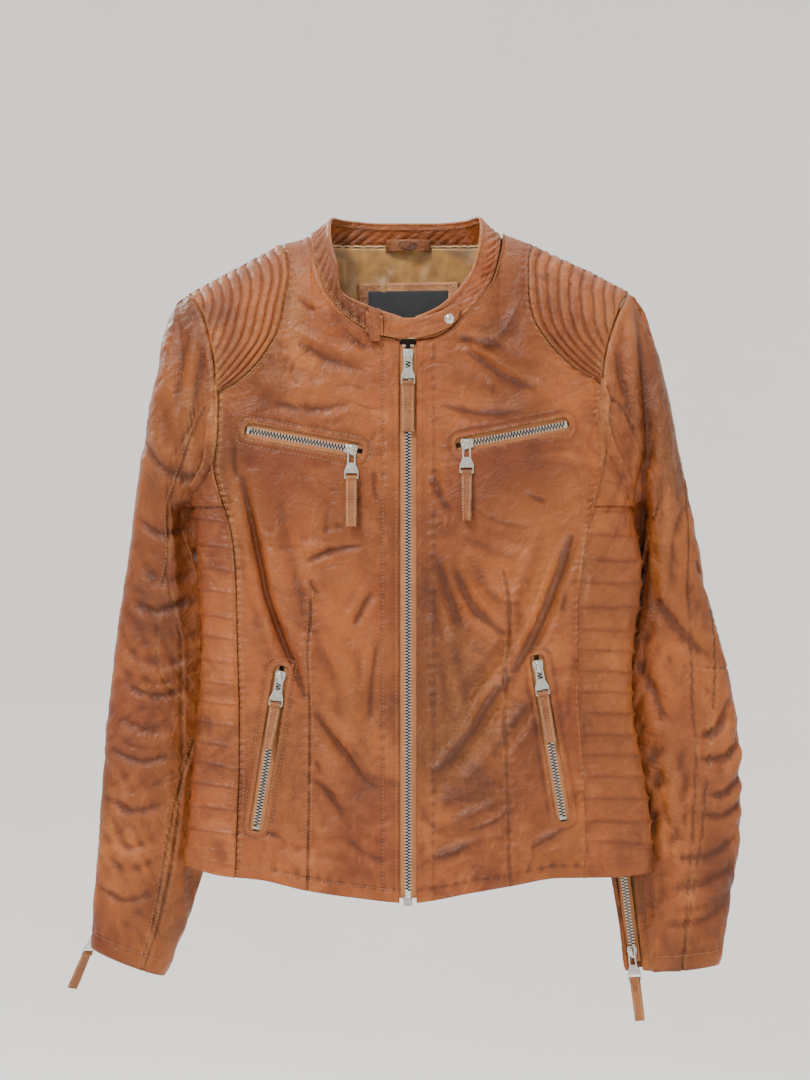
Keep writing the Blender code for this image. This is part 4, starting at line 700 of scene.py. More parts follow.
def side_panel(left):
    seed = 23 if left else 29
    e = -1.0 if left else 1.0
    v_top = 499.5 if left else 501.5
    nv, nu = 470, 84
    hemv = float(hem(200 if left else 640))
    vv = np.linspace(v_top, hemv, nv)
    l, r = side_l(vv), side_r(vv); c, w = (l + r) / 2, (r - l) / 2
    sm = (seam_l if left else seam_r)(vv)
    qf = np.abs((sm - e * 1.8 - c) / w); qb = np.abs((sm - e * 14 - c) / w)
    th_f = np.arcsin(np.clip(qf, 0, 1) ** (SECT / 2)); th_b = math.pi - np.arcsin(np.clip(qb, 0, 1) ** (SECT / 2))
    s = np.linspace(0, 1, nu)
    TH = th_f[:, None] * (1 - s) + th_b[:, None] * s
    q = np.abs(np.sin(TH)) ** (2 / SECT); f = np.abs(np.cos(TH)) ** (2 / SECT) * np.sign(np.cos(TH))
    U = c[:, None] + e * w[:, None] * q; VV = np.repeat(vv[:, None], nu, axis=1)
    k = np.clip((VV - (hemv - 40)) / 40, 0, 1)
    V = VV + k * (hem(U) - hemv)
    Y = np.where(f > 0, -DEPTH_F * f, -DEPTH_B * f) - 0.012 * q * q
    P = np.stack([X(U), Y, Z(V)], axis=-1)
    ds, de, dt, db = edge_dist(P)
    arc = ds / 0.9
    lines = QL if left else QR
    tilt = V + 1.4 * vnoise(arc / 30.0, V / 40.0, seed) + (0.10 if left else -0.06) * arc
    fadeb = np.clip((hemv - 18 - V) / 6.0, 0, 1)
    qh, qd = quilt(tilt, lines, 1.5 if left else 1.9, seed, U, V)
    h = qh * fadeb * np.clip(ds / 2.5, 0.2, 1) * np.clip(de / 2.5, 0.2, 1)
    along = V * 0.9
    wr = 1 - np.abs(vnoise(arc / 5.2 + 0.6 * vnoise(arc / 9, V / 14, seed), V / 26.0, seed + 3))
    h += 1.0 * (wr ** 2 - 0.4) * np.clip(qd / 3.0, 0, 1) * (0.4 + 0.6 * np.abs(vnoise(arc / 40, V / 30, seed + 8)))
    h += crumple(U + arc, V, seed, 0.35)
    h += -2.3 * (1 / (1 + np.exp((ds - 1.9) / 0.28))) + seam(np.maximum(ds - 1.8, 0), along, 0.7, 0.45, seed, 7.0, 6.6) * (ds > 1.8) + seam(de, along, 1.2, 0.3, seed + 1, 6.0, 8.0)
    h += -0.6 * np.exp(-((db - 11.5) / 1.3) ** 2) - 0.7 * np.exp(-(db / 0.9) ** 2)
    h += -0.8 * np.exp(-(dt / 1.4) ** 2)
    # weaker painted crease shade on the quilted side panels
    name = "shell_side_" + ("l" if left else "r"); CREASE_SHADE[0] = 0.42
    ob, Q, N = finish_panel(name, U + arc * 0.3, V, P, h, [ds, de], seed, None, flip=not left, sign=1.0 if left else -1.0)
    sgn = 1
    for off in (2.3, 6.2): stitch_edge(Q, N, ds, off)
    stitch_edge(Q, N, de, 2.6)
    stitch_edge(Q, N, db, 11.5, axis=0)
    for ln in lines: stitch_edge(Q, N, tilt, ln, mask=None, axis=0)
    apply_mods(ob)
    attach(ob, BODY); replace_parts(ob, "side_panel_" + ("l" if left else "r")); PADDED.append(ob)
    # the underarm gusset between the body seam and the sleeve
    vt = np.linspace(386 if left else 380, 506, 120); seam_f = (seam_l if left else seam_r)(vt) - e * 2.0
    seam_f = np.where(vt < 398, (arm_l if left else arm_r)(vt) - e * 3.0, seam_f)
    arm = (arm_l if left else arm_r)(np.minimum(vt, 497)) + e * (9.0 * np.clip((vt - 384) / 16, 0.25, 1) - 3.0 * np.clip((vt - 470) / 30, 0, 1))
    s = np.linspace(0, 1, 40)
    U = seam_f[:, None] * (1 - s) + arm[:, None] * s; V = np.repeat(vt[:, None], 40, axis=1) + 0 * U
    P = np.stack([X(U), depth(U, V, True), Z(V)], axis=-1)
    ds, de, dt, db = edge_dist(P)
    qh, qd = quilt(V + 2 * vnoise(U / 20, V / 20, 5), [QL[0] - 25, QL[0]] if left else [QR[0] - 26, QR[0], QR[1]], 1.0, seed, U, V)
    tuck = 3.2 * np.clip((e * (U - (arm_l if left else arm_r)(np.minimum(V, 497))) + 1.5) / 3.0, 0, 1) + 2.3 / (1 + np.exp((ds - 2.0) / 0.28)) + 2.2 * np.clip((400 - V) / 6, 0, 1) + 1.5 * np.clip((V - 498) / 4, 0, 1)
    h = qh * np.clip((ds - 2) / 5, 0, 1) * 0.8 + crumple(U, V, seed + 4, 0.4) * 0.6 - tuck
    ob2, Q, N = finish_panel(name + "_gusset", U, V, P, h, [ds, de], seed + 5, None, flip=not left, sign=1.0 if left else -1.0)
    stitch_edge(Q, N, ds, 2.3); apply_mods(ob2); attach(ob2, BODY)
    SHEETS.append(ob2)
side_panel(True); side_panel(False); CREASE_SHADE[0] = 0.55

# ------------------------------------------------------------------------------------- quilted shoulder patches
def shoulder(left):
    seed = 37 if left else 41
    arm, inner = (arm_l, seam_l) if left else (arm_r, seam_r)
    tip = 396 if left else 389
    ta, ti = (291.0, 240.0) if left else (289.0, 241.0)
    g = np.linspace(0, 1, 92) ** 1.5
    tt = np.concatenate([-g[::-1], g[1:]])                 # back tip .. ridge .. front tip
    ns = 120; s = np.linspace(0, 1, ns)
    t = np.abs(tt); va, vi = ta + (tip - ta) * t, ti + (tip - ti) * t
    ua, ui = arm(va), inner(vi)
    if left: ui = np.maximum(ui, ua + 0.6)
    else: ui = np.minimum(ui, ua - 0.6)
    U = ua[:, None] * (1 - s) + ui[:, None] * s; V = va[:, None] * (1 - s) + vi[:, None] * s
    rg = ridge(U)
    V = np.where((t < 0.012)[:, None], rg, np.maximum(V, rg))
    fr = (tt >= 0)[:, None] & np.ones(ns, bool)
    P = np.stack([X(U), depth(U, V, fr), Z(V)], axis=-1)
    da, di, _, _ = edge_dist(P)                            # from the armhole, from the inner seam
    W = da + di
    lines = [0, 8.5, 17.5, 27.0, 37, 47, 57, 67, 77, 87, 97, 107] if left else [0, 10.0, 20.5, 31, 42, 53, 64, 75, 86, 97, 108]
    qh, qd = quilt(di / 0.9 + 1.6 * vnoise(U / 30, V / 30, seed), [x / 0.9 for x in lines], 2.0 if left else 2.3, seed, U, V)
    narrow = np.clip(W / 24.0, 0.15, 1)
    ridge_soft = 1.0
    arc = np.cumsum(np.concatenate([np.zeros((1, ns)), np.linalg.norm(np.diff(P, axis=0), axis=2)], axis=0), axis=0) * 1000
    wr = 1 - np.abs(vnoise(di / 22, arc / 6.0 + 0.5 * vnoise(di / 10, arc / 12, seed), seed + 3))
    h = qh * narrow * np.clip(di / 2.5, 0.2, 1) * np.clip(da / 2.5, 0.2, 1) + 0.55 * (wr - 0.5) * np.clip(qd / 3, 0, 1) + crumple(U, V, seed, 0.35) * narrow
    h += seam(di, arc, 1.2, 0.5, seed, 6, 7.5) - 1.2 * np.exp(-(da / 1.6) ** 2)
    name = "shell_shoulder_" + ("l" if left else "r")
    ex = np.zeros(h.shape + (3,)); ex[..., 0] = 0.75 * np.exp(-((di - 1.2) / 1.3) ** 2) * (1.0 if left else 0.35)
    ob, Q, N = finish_panel(name, U, V, P, h, [di, da], seed, None, extra=ex, flip=not left, sign=1.0 if left else -1.0)
    for off in (2.2,): stitch_edge(Q, N, di, off, mask=W > 7)
    stitch_edge(Q, N, da, 2.4, mask=W > 7)
    dd = di + 0.9 * 1.6 * vnoise(U / 30, V / 30, seed)
    for ln in lines[1:9]: stitch_edge(Q, N, dd, ln, mask=(da > 2))
    apply_mods(ob)
    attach(ob, BODY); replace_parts(ob, "shoulder_patch_" + ("l" if left else "r")); PADDED.append(ob)
shoulder(True); shoulder(False); CREASE_SHADE[0] = 1.0

# ------------------------------------------------------------------------------------- back panel
def back_edge_u(v, left):
    v = np.asarray(v, float)
    if left:
        low = 499.0; k = np.clip((v - low) / 9, 0, 1)
        return np.where(v <= 396, seam_l(v) + 0.5, (arm_l(np.minimum(v, low)) + 0.3) * (1 - k) + (seam_l(v) + 12.2) * k)
    low = 501.0; k = np.clip((v - low) / 9, 0, 1)
    return np.where(v <= 388, seam_r(v) - 0.5, (arm_r(np.minimum(v, low)) - 0.3) * (1 - k) + (seam_r(v) - 12.2) * k)
NECK_Y = pchip([(306, 0.002), (309.5, 0.004), (320, 0.018), (345, 0.0386), (376, 0.0394), (408, 0.0397), (441, 0.0394), (471, 0.0386), (492, 0.018), (502.5, 0.004), (506, 0.002)])
def back():
    nt, ns = 372, 208
    t = np.concatenate([np.linspace(0, 0.02, 12)[:-1], np.linspace(0.02, 1, nt)])
    s = np.linspace(0, 1, ns)
    ends = []
    for left in (True, False):
        u = np.full(t.shape, 235.0 if left else 582.0)
        for _ in range(14):
            v0 = ridge(u) + 0.1; v = v0 + (hem(u) - v0) * t
            u = 0.5 * u + 0.5 * back_edge_u(v, left)
        ends.append(u)
    U = ends[0][:, None] * (1 - s) + ends[1][:, None] * s
    neckcut = 1 / (1 + np.exp(-(U - 309) / 0.9)) * 1 / (1 + np.exp((U - 503.5) / 0.9))
    v0 = (ridge(U) + 0.1) * (1 - neckcut) + 235.4 * neckcut
    V = v0 + (hem(U) - v0) * t[:, None]
    Y = depth(U, V, False); w = (np.clip((262 - V) / 22, 0, 1) ** 1.5) * neckcut
    Y = Y * (1 - w) + np.minimum(Y, NECK_Y(U) - 0.0015) * w      # the top edge is sewn inside the collar band
    P = np.stack([X(U), Y, Z(V)], axis=-1)
    dl, dr, dt, db = edge_dist(P)
    B = [([(250,470),(300,520),(350,560),(400,575)], 9, -2.4), ([(560,470),(515,520),(465,556),(410,572)], 9, -2.4), ([(260,560),(320,600),(390,620)], 9, -2.0),
         ([(560,570),(500,610),(430,628)], 9, -2.0), ([(280,640),(330,668),(400,680)], 8, 1.8), ([(540,650),(480,672),(420,684)], 8, 1.8), ([(300,720),(360,742),(420,740),(500,722)], 10, -1.9),
         ([(260,790),(320,812),(400,806)], 9, -1.6), ([(560,780),(500,806),(440,812)], 9, -1.6), ([(330,300),(400,318),(480,302)], 12, -1.4), ([(300,380),(400,402),(510,384)], 14, 1.5),
         ([(270,430),(330,452),(390,448)], 8, -1.5), ([(550,430),(500,450),(440,446)], 8, -1.5), ([(408,330),(406,420),(409,520)], 12, -0.9)]
    h = (crumple(U, V, 61, 0.7) + strokes(U, V, B)) * np.clip(np.minimum(dl, dr) / 12, 0.2, 1) * np.clip(db / 10, 0.2, 1) * np.clip((V - 240) / 40, 0.0, 1)
    h = np.clip(h, -4.5, 3.6)
    along = V * 0.9
    h += seam(dl, along, 1.3, 0.4, 62, 8, 8) + seam(dr, along, 1.3, 0.4, 63, 8, 8)
    # a yoke seam across the shoulder blades
    yv = 372 + 8 * np.cos((U - 408) / 180 * math.pi)
    dy = (V - yv) * 0.9
    h += -1.3 * np.exp(-(dy / 1.2) ** 2) + 0.4 * np.exp(-((dy - 3.2) / 2) ** 2)
    h += -0.6 * np.exp(-((db - 11.5) / 1.3) ** 2) + 0.4 * np.exp(-((db - 6) / 3.5) ** 2) - 0.7 * np.exp(-(db / 0.9) ** 2)
    ob, Q, N = finish_panel("shell_back", U, V, P, h, [dl, dr, np.abs(dy)], 61, None, flip=True, sign=-1.0)
    for off in (2.4, 6.2): stitch_edge(Q, N, dl, off); stitch_edge(Q, N, dr, off)
    stitch_edge(Q, N, dy, 2.4, axis=0); stitch_edge(Q, N, dy, 6.2, axis=0); stitch_edge(Q, N, db, 11.5, axis=0)
    apply_mods(ob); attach(ob, BODY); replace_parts(ob, "back_panel"); SHEETS.append(ob)
back()

# ------------------------------------------------------------------------------------- sleeves
SL_L = [(0.00,185,291,190,497,30,0,0),(0.06,171,302,176,512,34,1,2),(0.13,160,335,173,534,38,4,6),(0.21,150,380,183,562,39,9,10),(0.30,139,440,204,594,38,16,14),(0.40,131,495,221,626,36,20,16),(0.50,122,560,230,662,34,23,16),(0.60,112,625,227,700,32,25,14),(0.70,104,690,222,742,31,24,12),(0.80,98,760,214,796,29,21,8),(0.88,93,835,204,852,27,17,5),(0.95,87,905,188,915,25,13,3),(1.0,84,955,160,985,23,11,2)]
SL_R = [(0.00,632,289,634,499,30,0,0),(0.06,646,304,648,512,34,1,2),(0.13,658,345,654,534,38,4,6),(0.21,671,395,652,562,39,9,10),(0.30,685,452,629,594,38,17,14),(0.40,697,512,604,626,36,20,16),(0.50,709,571,593,662,34,23,16),(0.60,723,630,596,700,32,25,14),(0.70,738,690,600,742,31,24,12),(0.80,749,762,606,796,29,21,8),(0.88,747,835,613,850,27,17,5),(0.95,738,905,622,912,25,13,3),(1.0,727,972,632,982,23,11,2)]
FS_L = [(0,90),(0.13,90),(0.3,78),(0.45,74),(0.55,95),(0.8,112),(1,118)]; BS_L = [(0,-90),(0.3,-60),(0.7,-32),(0.78,-27),(1,-27)]
FS_R = [(0,90),(0.4,92),(0.55,105),(0.75,146),(1,146)]; BS_R = [(0,-85),(0.2,-40),(0.36,20),(0.5,46),(0.7,67),(1,82)]
def sleeve_surface(left, S, A, inset=0.0, straight=False):
    tb = SL_L if left else SL_R
    g = [(lin if straight else pchip)([(r[0], r[k]) for r in tb])(S) for k in range(1, 8)]
    ou, ov, iu, iv, hd, yc, sk = g
    if not straight:      # cloth gathered under the arm closes the gap beside the body
        iu = iu + (27 if left else -25) * np.exp(-((S - 0.13) / 0.085) ** 2) * np.clip(S / 0.05, 0, 1)
    hd, yc, sk = hd / 1000, yc / 1000, sk / 1000
    cu, cv, au, av = (ou + iu) / 2, (ov + iv) / 2, (ou - iu) / 2, (ov - iv) / 2
    L = np.hypot(au, av) * UNIT; ca, sa = np.cos(A), np.sin(A); k = 1 - inset / L
    bulge = (28 if left else -31) * np.maximum(0, 1 - S / 0.2) ** 1.5
    u = cu + au * ca * k + bulge * np.abs(sa) ** (1.3 if left else 2.0); v = cv + av * ca * k
    y_t = yc - sk * ca - (hd - inset) * np.copysign(np.abs(sa) ** 0.85, sa)
    y_b = depth(u, v, sa >= 0)
    if inset: y_b = y_b * max(0.0, 1 - inset / 0.03)
    w = np.minimum(1, S / 0.22); w = w * w * (3 - 2 * w)
    y = y_b * (1 - w) + y_t * w
    l, r = side_l(v), side_r(v); c, hw = (l + r) / 2, (r - l) / 2
    near = (v > 500) & (u > l - 22) & (u < r + 22)
    q = np.minimum(1.0, np.abs(u - c) / hw)
    yb = depth(u, v, False) + 0.0066 + inset; m = y - yb
    y2 = yb + (m + np.sqrt(m * m + 0.004 ** 2)) / 2
    f = np.clip((np.abs(u - c) - hw) / 22, 0, 1) ** 2
    y2 = np.where(q >= 1.0, y2 * (1 - f) + (yb + m) * f, y2)
    soft = np.clip((v - 500) / 16, 0, 1); soft = soft * soft * (3 - 2 * soft)
    y = np.where(near, y * (1 - soft) + y2 * soft, y)
    return np.stack([X(u), y, Z(v)], axis=-1), u, v

SF_L = [([(232,300),(205,350),(190,420),(180,470)], 7, -1.6), ([(160,330),(172,400),(182,450)], 8, 1.8), ([(140,440),(165,470),(200,480)], 7, -2.4), ([(138,520),(160,535),(186,528)], 6, -2.2),
        ([(130,575),(155,592),(190,590)], 8, 2.2), ([(128,600),(150,612),(182,604)], 5, -2.6), ([(120,660),(150,676),(190,668)], 7, 2.2), ([(120,684),(150,698),(186,692)], 5, -2.4),
        ([(108,728),(140,742),(172,740)], 7, 2.0), ([(106,752),(136,764),(168,760)], 5, -2.2), ([(100,800),(130,815),(160,806)], 6, -2.0), ([(98,850),(128,862),(158,850)], 6, 1.5), ([(92,890),(120,905),(148,898)], 5, -1.8),
        ([(175,300),(180,360),(176,410)], 8, -1.6), ([(200,300),(196,340),(190,380)], 6, 1.4), ([(150,400),(158,460),(160,520)], 8, 1.5), ([(120,920),(140,930),(150,950)], 5, 1.2)]
SF_R = [([(642,305),(647,394),(649,451),(645,480),(645,537),(643,580),(639,637)], 7, -4.6), ([(662,330),(668,400),(670,460),(668,540),(662,600)], 11, 2.6), ([(700,560),(715,590),(722,612)], 6, -2.2),
        ([(660,600),(690,640),(718,660)], 8, -2.4), ([(735,700),(722,730),(700,742)], 6, -2.2), ([(748,745),(728,762),(705,762)], 5, -2.6), ([(752,775),(732,798),(712,798)], 5, -2.6), ([(748,806),(728,820),(705,818)], 5, -2.2),
        ([(742,720),(728,745),(708,750)], 6, 2.0), ([(750,760),(730,780),(706,780)], 6, 2.0), ([(745,840),(715,860),(680,862)], 7, -2.0), ([(740,880),(710,900),(672,905)], 7, 1.8), ([(738,905),(708,925),(668,930)], 5, -1.8),
        ([(690,500),(676,540),(672,600)], 7, -1.5), ([(640,660),(660,700),(668,760)], 8, -2.0), ([(655,700),(672,760),(676,830)], 8, 1.8), ([(640,780),(655,820),(655,870)], 6, -1.6), ([(625,300),(632,350),(632,400)], 6, 1.5), ([(612,330),(622,380),(632,420)], 5, -1.4)]
SLV = {}
def sleeve(left):
    seed = 71 if left else 83
    side = "l" if left else "r"
    ns, na = 330, 168
    s = np.concatenate([np.linspace(0.0, 0.02, 8)[:-1], np.linspace(0.02, 1.0, ns)]); a = np.linspace(0, 2 * math.pi, na, endpoint=False)
    # the cuff zip sits in a slit, so the loop of angles starts at the slit
    zang = math.radians(-27 if left else 146)
    a = a + zang
    a = np.concatenate([a, [zang + 2 * math.pi]])
    S, A = np.meshgrid(s, a, indexing="ij")
    # open the slit: angles near the slit are pushed away from it below the slit's top
    P0, _, _ = sleeve_surface(left, S, A)
    rad = 0.028
    open_ = np.clip((S - 0.853) / 0.012, 0, 1) * 0.0068 / rad
    rel = (A - zang); k = np.minimum(rel, 2 * math.pi - rel)
    push = open_ * np.exp(-(k / 0.5) ** 2) * np.where(rel < math.pi, 1, -1)
    A2 = A + push
    P, U, V = sleeve_surface(left, S, A2)
    arc_a = np.concatenate([np.zeros((len(s), 1)), np.cumsum(np.linalg.norm(np.diff(P, axis=1), axis=2), axis=1)], axis=1) * 1000
    arc_s = np.concatenate([np.zeros((1, len(a))), np.cumsum(np.linalg.norm(np.diff(P, axis=0), axis=2), axis=0)], axis=0) * 1000
    to_end = arc_s[-1:] - arc_s
    front = np.sin(A2) > -0.15
    h = crumple(U + 80 * np.cos(A2), V + 0.4 * arc_a * np.sin(A2), seed, 0.75)
    # soft rings where the arm bends and where the cuff gathers
    ring = np.sin(arc_s / 27.0 * 2 * math.pi + 1.6 * np.sin(A2 + 0.6) + 2.0 * vnoise(arc_s / 60, np.cos(A2) * 1.5 + 3, seed)) 
    h += 0.75 * ring * (0.15 + 0.6 * np.exp(-((S - 0.55) / 0.13) ** 2) + 0.55 * np.exp(-((S - 0.84) / 0.12) ** 2)) * np.clip(0.7 + vnoise(arc_s / 45, A2 * 1.1, seed + 2), 0, 1.4)
    h += np.where(front, strokes(U, V, SF_L if left else SF_R), 0) * np.clip(arc_s / 12, 0, 1)
    h = np.clip(h, -5.2, 3.8)
    fade = np.clip(arc_s / 10, 0.1, 1) * np.clip(to_end / 12, 0.25, 1)
    h *= fade
    seams = []
    def line(tab_, amp=1.4, puck=0.45, sd=0):
        tgt = np.radians(np.interp(S, *lerp_tab(tab_)))
        d = (A - tgt + math.pi) % (2 * math.pi) - math.pi
        dloc = np.gradient(arc_a, axis=1) / np.gradient(A, axis=1)
        dist = d * dloc
        seams.append(dist); return seam(np.abs(dist), arc_s, amp, puck, seed + sd, 7, 8)
    zip_side = BS_L if left else FS_R
    h += line(FS_L if left else BS_R, 1.4, 0.5, 1)
    hz = line(zip_side, 1.4, 0.4, 2); h += hz * np.clip((0.85 - S) / 0.02, 0, 1)
    dslit = np.minimum(arc_a, arc_a[:, -1:] - arc_a)
    below = np.clip((S - 0.853) / 0.01, 0, 1)
    h += below * (0.4 * np.exp(-((dslit - 3) / 2.5) ** 2) - 0.6 * np.exp(-((dslit - 7.5) / 1.2) ** 2) - 0.5 * np.exp(-(dslit / 0.8) ** 2))
    # armhole seam, cuff fold
    h += -1.0 * np.exp(-(arc_s / 1.6) ** 2) + 0.55 * np.exp(-((arc_s - 4.5) / 3.0) ** 2) + 0.5 * np.sin(arc_a / 8.5 * 6.28 + 1.5 * vnoise(arc_a / 25, arc_a * 0, seed + 4)) * np.exp(-(arc_s / 9) ** 2) * np.minimum(1, arc_s / 1.5)
    h += -0.6 * np.exp(-((to_end - 14) / 1.3) ** 2) + 0.35 * np.exp(-((to_end - 7) / 4) ** 2) - 0.6 * np.exp(-(to_end / 0.9) ** 2)
    h += 0.4 * np.sin(arc_a / 9.5 * 6.28) * np.exp(-((to_end - 15) / 5) ** 2)
    # elbow patch outline
    if left: EP = [(157,606),(153,643),(157,677),(175,700),(190,709)]
    else: EP = [(700,668),(721,670),(740,671)]
    dd, ff, sg = line_dist(U, V, EP, 4); dd = np.where(front & (ff > 0.001) & (ff < 0.999), dd * 0.9, 99.0)
    h += -0.9 * np.exp(-(dd / 1.1) ** 2) + 0.3 * np.exp(-((dd - 3) / 1.8) ** 2)
    lines2 = []
    if left: LL = [(191,740),(175,794),(162,861),(155,905),(148,937),(137,972)]
    else: LL = [(715,609),(719,632),(719,694),(710,790),(705,844),(697,894),(689,948),(685,985)]
    d2, f2, s2 = line_dist(U, V, LL, 4); d2 = np.where(front & (f2 > 0.001), d2 * 0.9, 99.0)
    h += -1.3 * np.exp(-(d2 / 1.1) ** 2) + 0.4 * np.exp(-((d2 - 3.2) / 2.0) ** 2) + 0.45 * np.sin(arc_s / 8 * 6.28) * np.exp(-(d2 / 7) ** 2) * np.minimum(1, d2)
    L3 = [(217,393),(203,413),(190,438),(175,482),(166,508),(166,557),(157,594)] if left else [(602,390),(620,409),(637,432),(648,445)]
    d3, f3, s3 = line_dist(U, V, L3, 4); d3 = np.where(front & (f3 > 0.001) & (f3 < 0.999), d3 * 0.9, 99.0)
    h += -1.3 * np.exp(-(d3 / 1.1) ** 2) + 0.45 * np.exp(-((d3 - 3.0) / 1.9) ** 2)
    # sign: outward
    C = P.mean(axis=1, keepdims=True)
    N = normals(P); sign = 1.0 if np.mean(np.sum(N * (P - C), axis=2)) > 0 else -1.0
    ex = np.zeros(h.shape + (3,)); ex[..., 0] = (0.55 if left else 0.2) * np.exp(-(d2 / 1.6) ** 2) * (0.4 + 0.6 * np.clip(vnoise(arc_s / 14, arc_s * 0, 9), 0, 1)) + 0.30 * np.exp(-(arc_s / 3.0) ** 2)
    ob, Q, N = finish_panel("shell_sleeve_" + side, U, V, P, h, [np.abs(q) for q in seams] + [dd, d2, d3, arc_s + 0.5], seed, None, extra=ex, flip=sign < 0, sign=sign)
    for q in seams:
        m = np.abs(q) < 12
        for off in (2.3, -2.3): stitch_edge(Q, N, np.where(m, q, 99.0), off, mask=m & (S < 0.985))
    stitch_edge(Q, N, np.where(d3 < 12, s3 * d3, 99.0), 2.2, mask=d3 < 12)
    sgd2 = np.where((d2 < 12), s2 * d2, 99.0)
    for off in (2.3, -2.3): stitch_edge(Q, N, sgd2, off, mask=(d2 < 12))
    stitch_edge(Q, N, np.where(dd < 12, sg * dd, 99.0), 2.2, mask=dd < 12, axis=0 if left else 0)
    stitch_edge(Q, N, arc_s, 3.2, axis=0); stitch_edge(Q, N, to_end, 14.0, axis=0)
    mm = S > 0.862
    stitch_edge(Q, N, arc_a, 7.5, mask=mm); stitch_edge(Q, N, arc_a[:, -1:] - arc_a, 7.5, mask=mm)
    apply_mods(ob)
    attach(ob, BODY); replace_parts(ob, "sleeve_upper_" + side, "sleeve_under_" + side); SHEETS.append(ob)
    # the sleeve's satin lining, seen in the cuff
    s = np.linspace(0.50, 0.975, 90); a = np.linspace(0, 2 * math.pi, 81)
    S, A = np.meshgrid(s, a, indexing="ij")
    P, U, V = sleeve_surface(left, S, A, 0.0046)
    h = 0.9 * fbm(U / 16 + 9 * np.cos(A), V / 40, seed + 5) 
    N = normals(P) * sign
    P = P + N * (h * 0.001)[..., None]
    li = grid_object("cuff_lining_" + side, P, M_SATIN, thick=0.0006, flip=sign < 0)
    apply_mods(li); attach(li, BODY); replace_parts(li, "sleeve_lining_" + side); SHEETS.append(li)
sleeve(True); sleeve(False)

# ------------------------------------------------------------------------------------- helpers for small parts
def bm_object(name, bm, mat, matrix=None, smooth=True, body=BODY, bevel=0.0, seg=2, sub=0):
    bmesh.ops.recalc_face_normals(bm, faces=bm.faces)
    me = bpy.data.meshes.new(name); bm.to_mesh(me); bm.free()
    if matrix is not None: me.transform(matrix)
    ob = link(bpy.data.objects.new(name, me)); me.materials.append(mat)
    if bevel:
        b = ob.modifiers.new("bev", "BEVEL"); b.width = bevel; b.segments = seg; b.limit_method = "ANGLE"; b.angle_limit = math.radians(35)
        apply_mods(ob)
    if smooth:
        ob.data.polygons.foreach_set("use_smooth", np.ones(len(ob.data.polygons), bool))
        try: ob.data.set_sharp_from_angle(angle=math.radians(38))
        except Exception: pass
    if body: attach(ob, body)
    return ob
def prism(outline, z0, z1, holes=()):
    """flat plate with holes: filled outline between z0 and z1"""
    bm = bmesh.new(); edges = []
    for loop in (outline,) + tuple(holes):
        vs = [bm.verts.new((x, y, z0)) for x, y in loop]
        edges += [bm.edges.new((vs[i], vs[(i + 1) % len(vs)])) for i in range(len(vs))]
    r = bmesh.ops.triangle_fill(bm, use_beauty=True, use_dissolve=False, edges=edges)
    faces = [f for f in bm.faces]
    ex = bmesh.ops.extrude_face_region(bm, geom=faces)
    bmesh.ops.translate(bm, verts=[v for v in ex["geom"] if isinstance(v, bmesh.types.BMVert)], vec=(0, 0, z1 - z0))
    return bm
def add_box(bm, lo, hi, M=None):
    c = [Vector(((lo[0] + hi[0]) / 2, (lo[1] + hi[1]) / 2, (lo[2] + hi[2]) / 2))]
    m = Matrix.Translation(c[0]) @ Matrix.Diagonal((hi[0] - lo[0], hi[1] - lo[1], hi[2] - lo[2], 1))
    bmesh.ops.create_cube(bm, size=1.0, matrix=(M @ m) if M is not None else m)
def tube(pts, r, sides=8, cap=True, radii=None):
    bm = bmesh.new(); P = [Vector(p) for p in pts]; rings = []
    up = None
    for i, p in enumerate(P):
        t = (P[min(i + 1, len(P) - 1)] - P[max(i - 1, 0)]).normalized()
        if up is None: up = t.orthogonal().normalized()
        up = (up - t * up.dot(t)).normalized(); w = t.cross(up)
        rr = radii[i] if radii is not None else r
        rings.append([bm.verts.new(p + (up * math.cos(2*math.pi*k/sides) + w * math.sin(2*math.pi*k/sides)) * rr) for k in range(sides)])
    for a, b in zip(rings[:-1], rings[1:]):
        for k in range(sides): bm.faces.new((a[k], a[(k+1) % sides], b[(k+1) % sides], b[k]))
    if cap: bm.faces.new(rings[0][::-1]); bm.faces.new(rings[-1])
    return bm

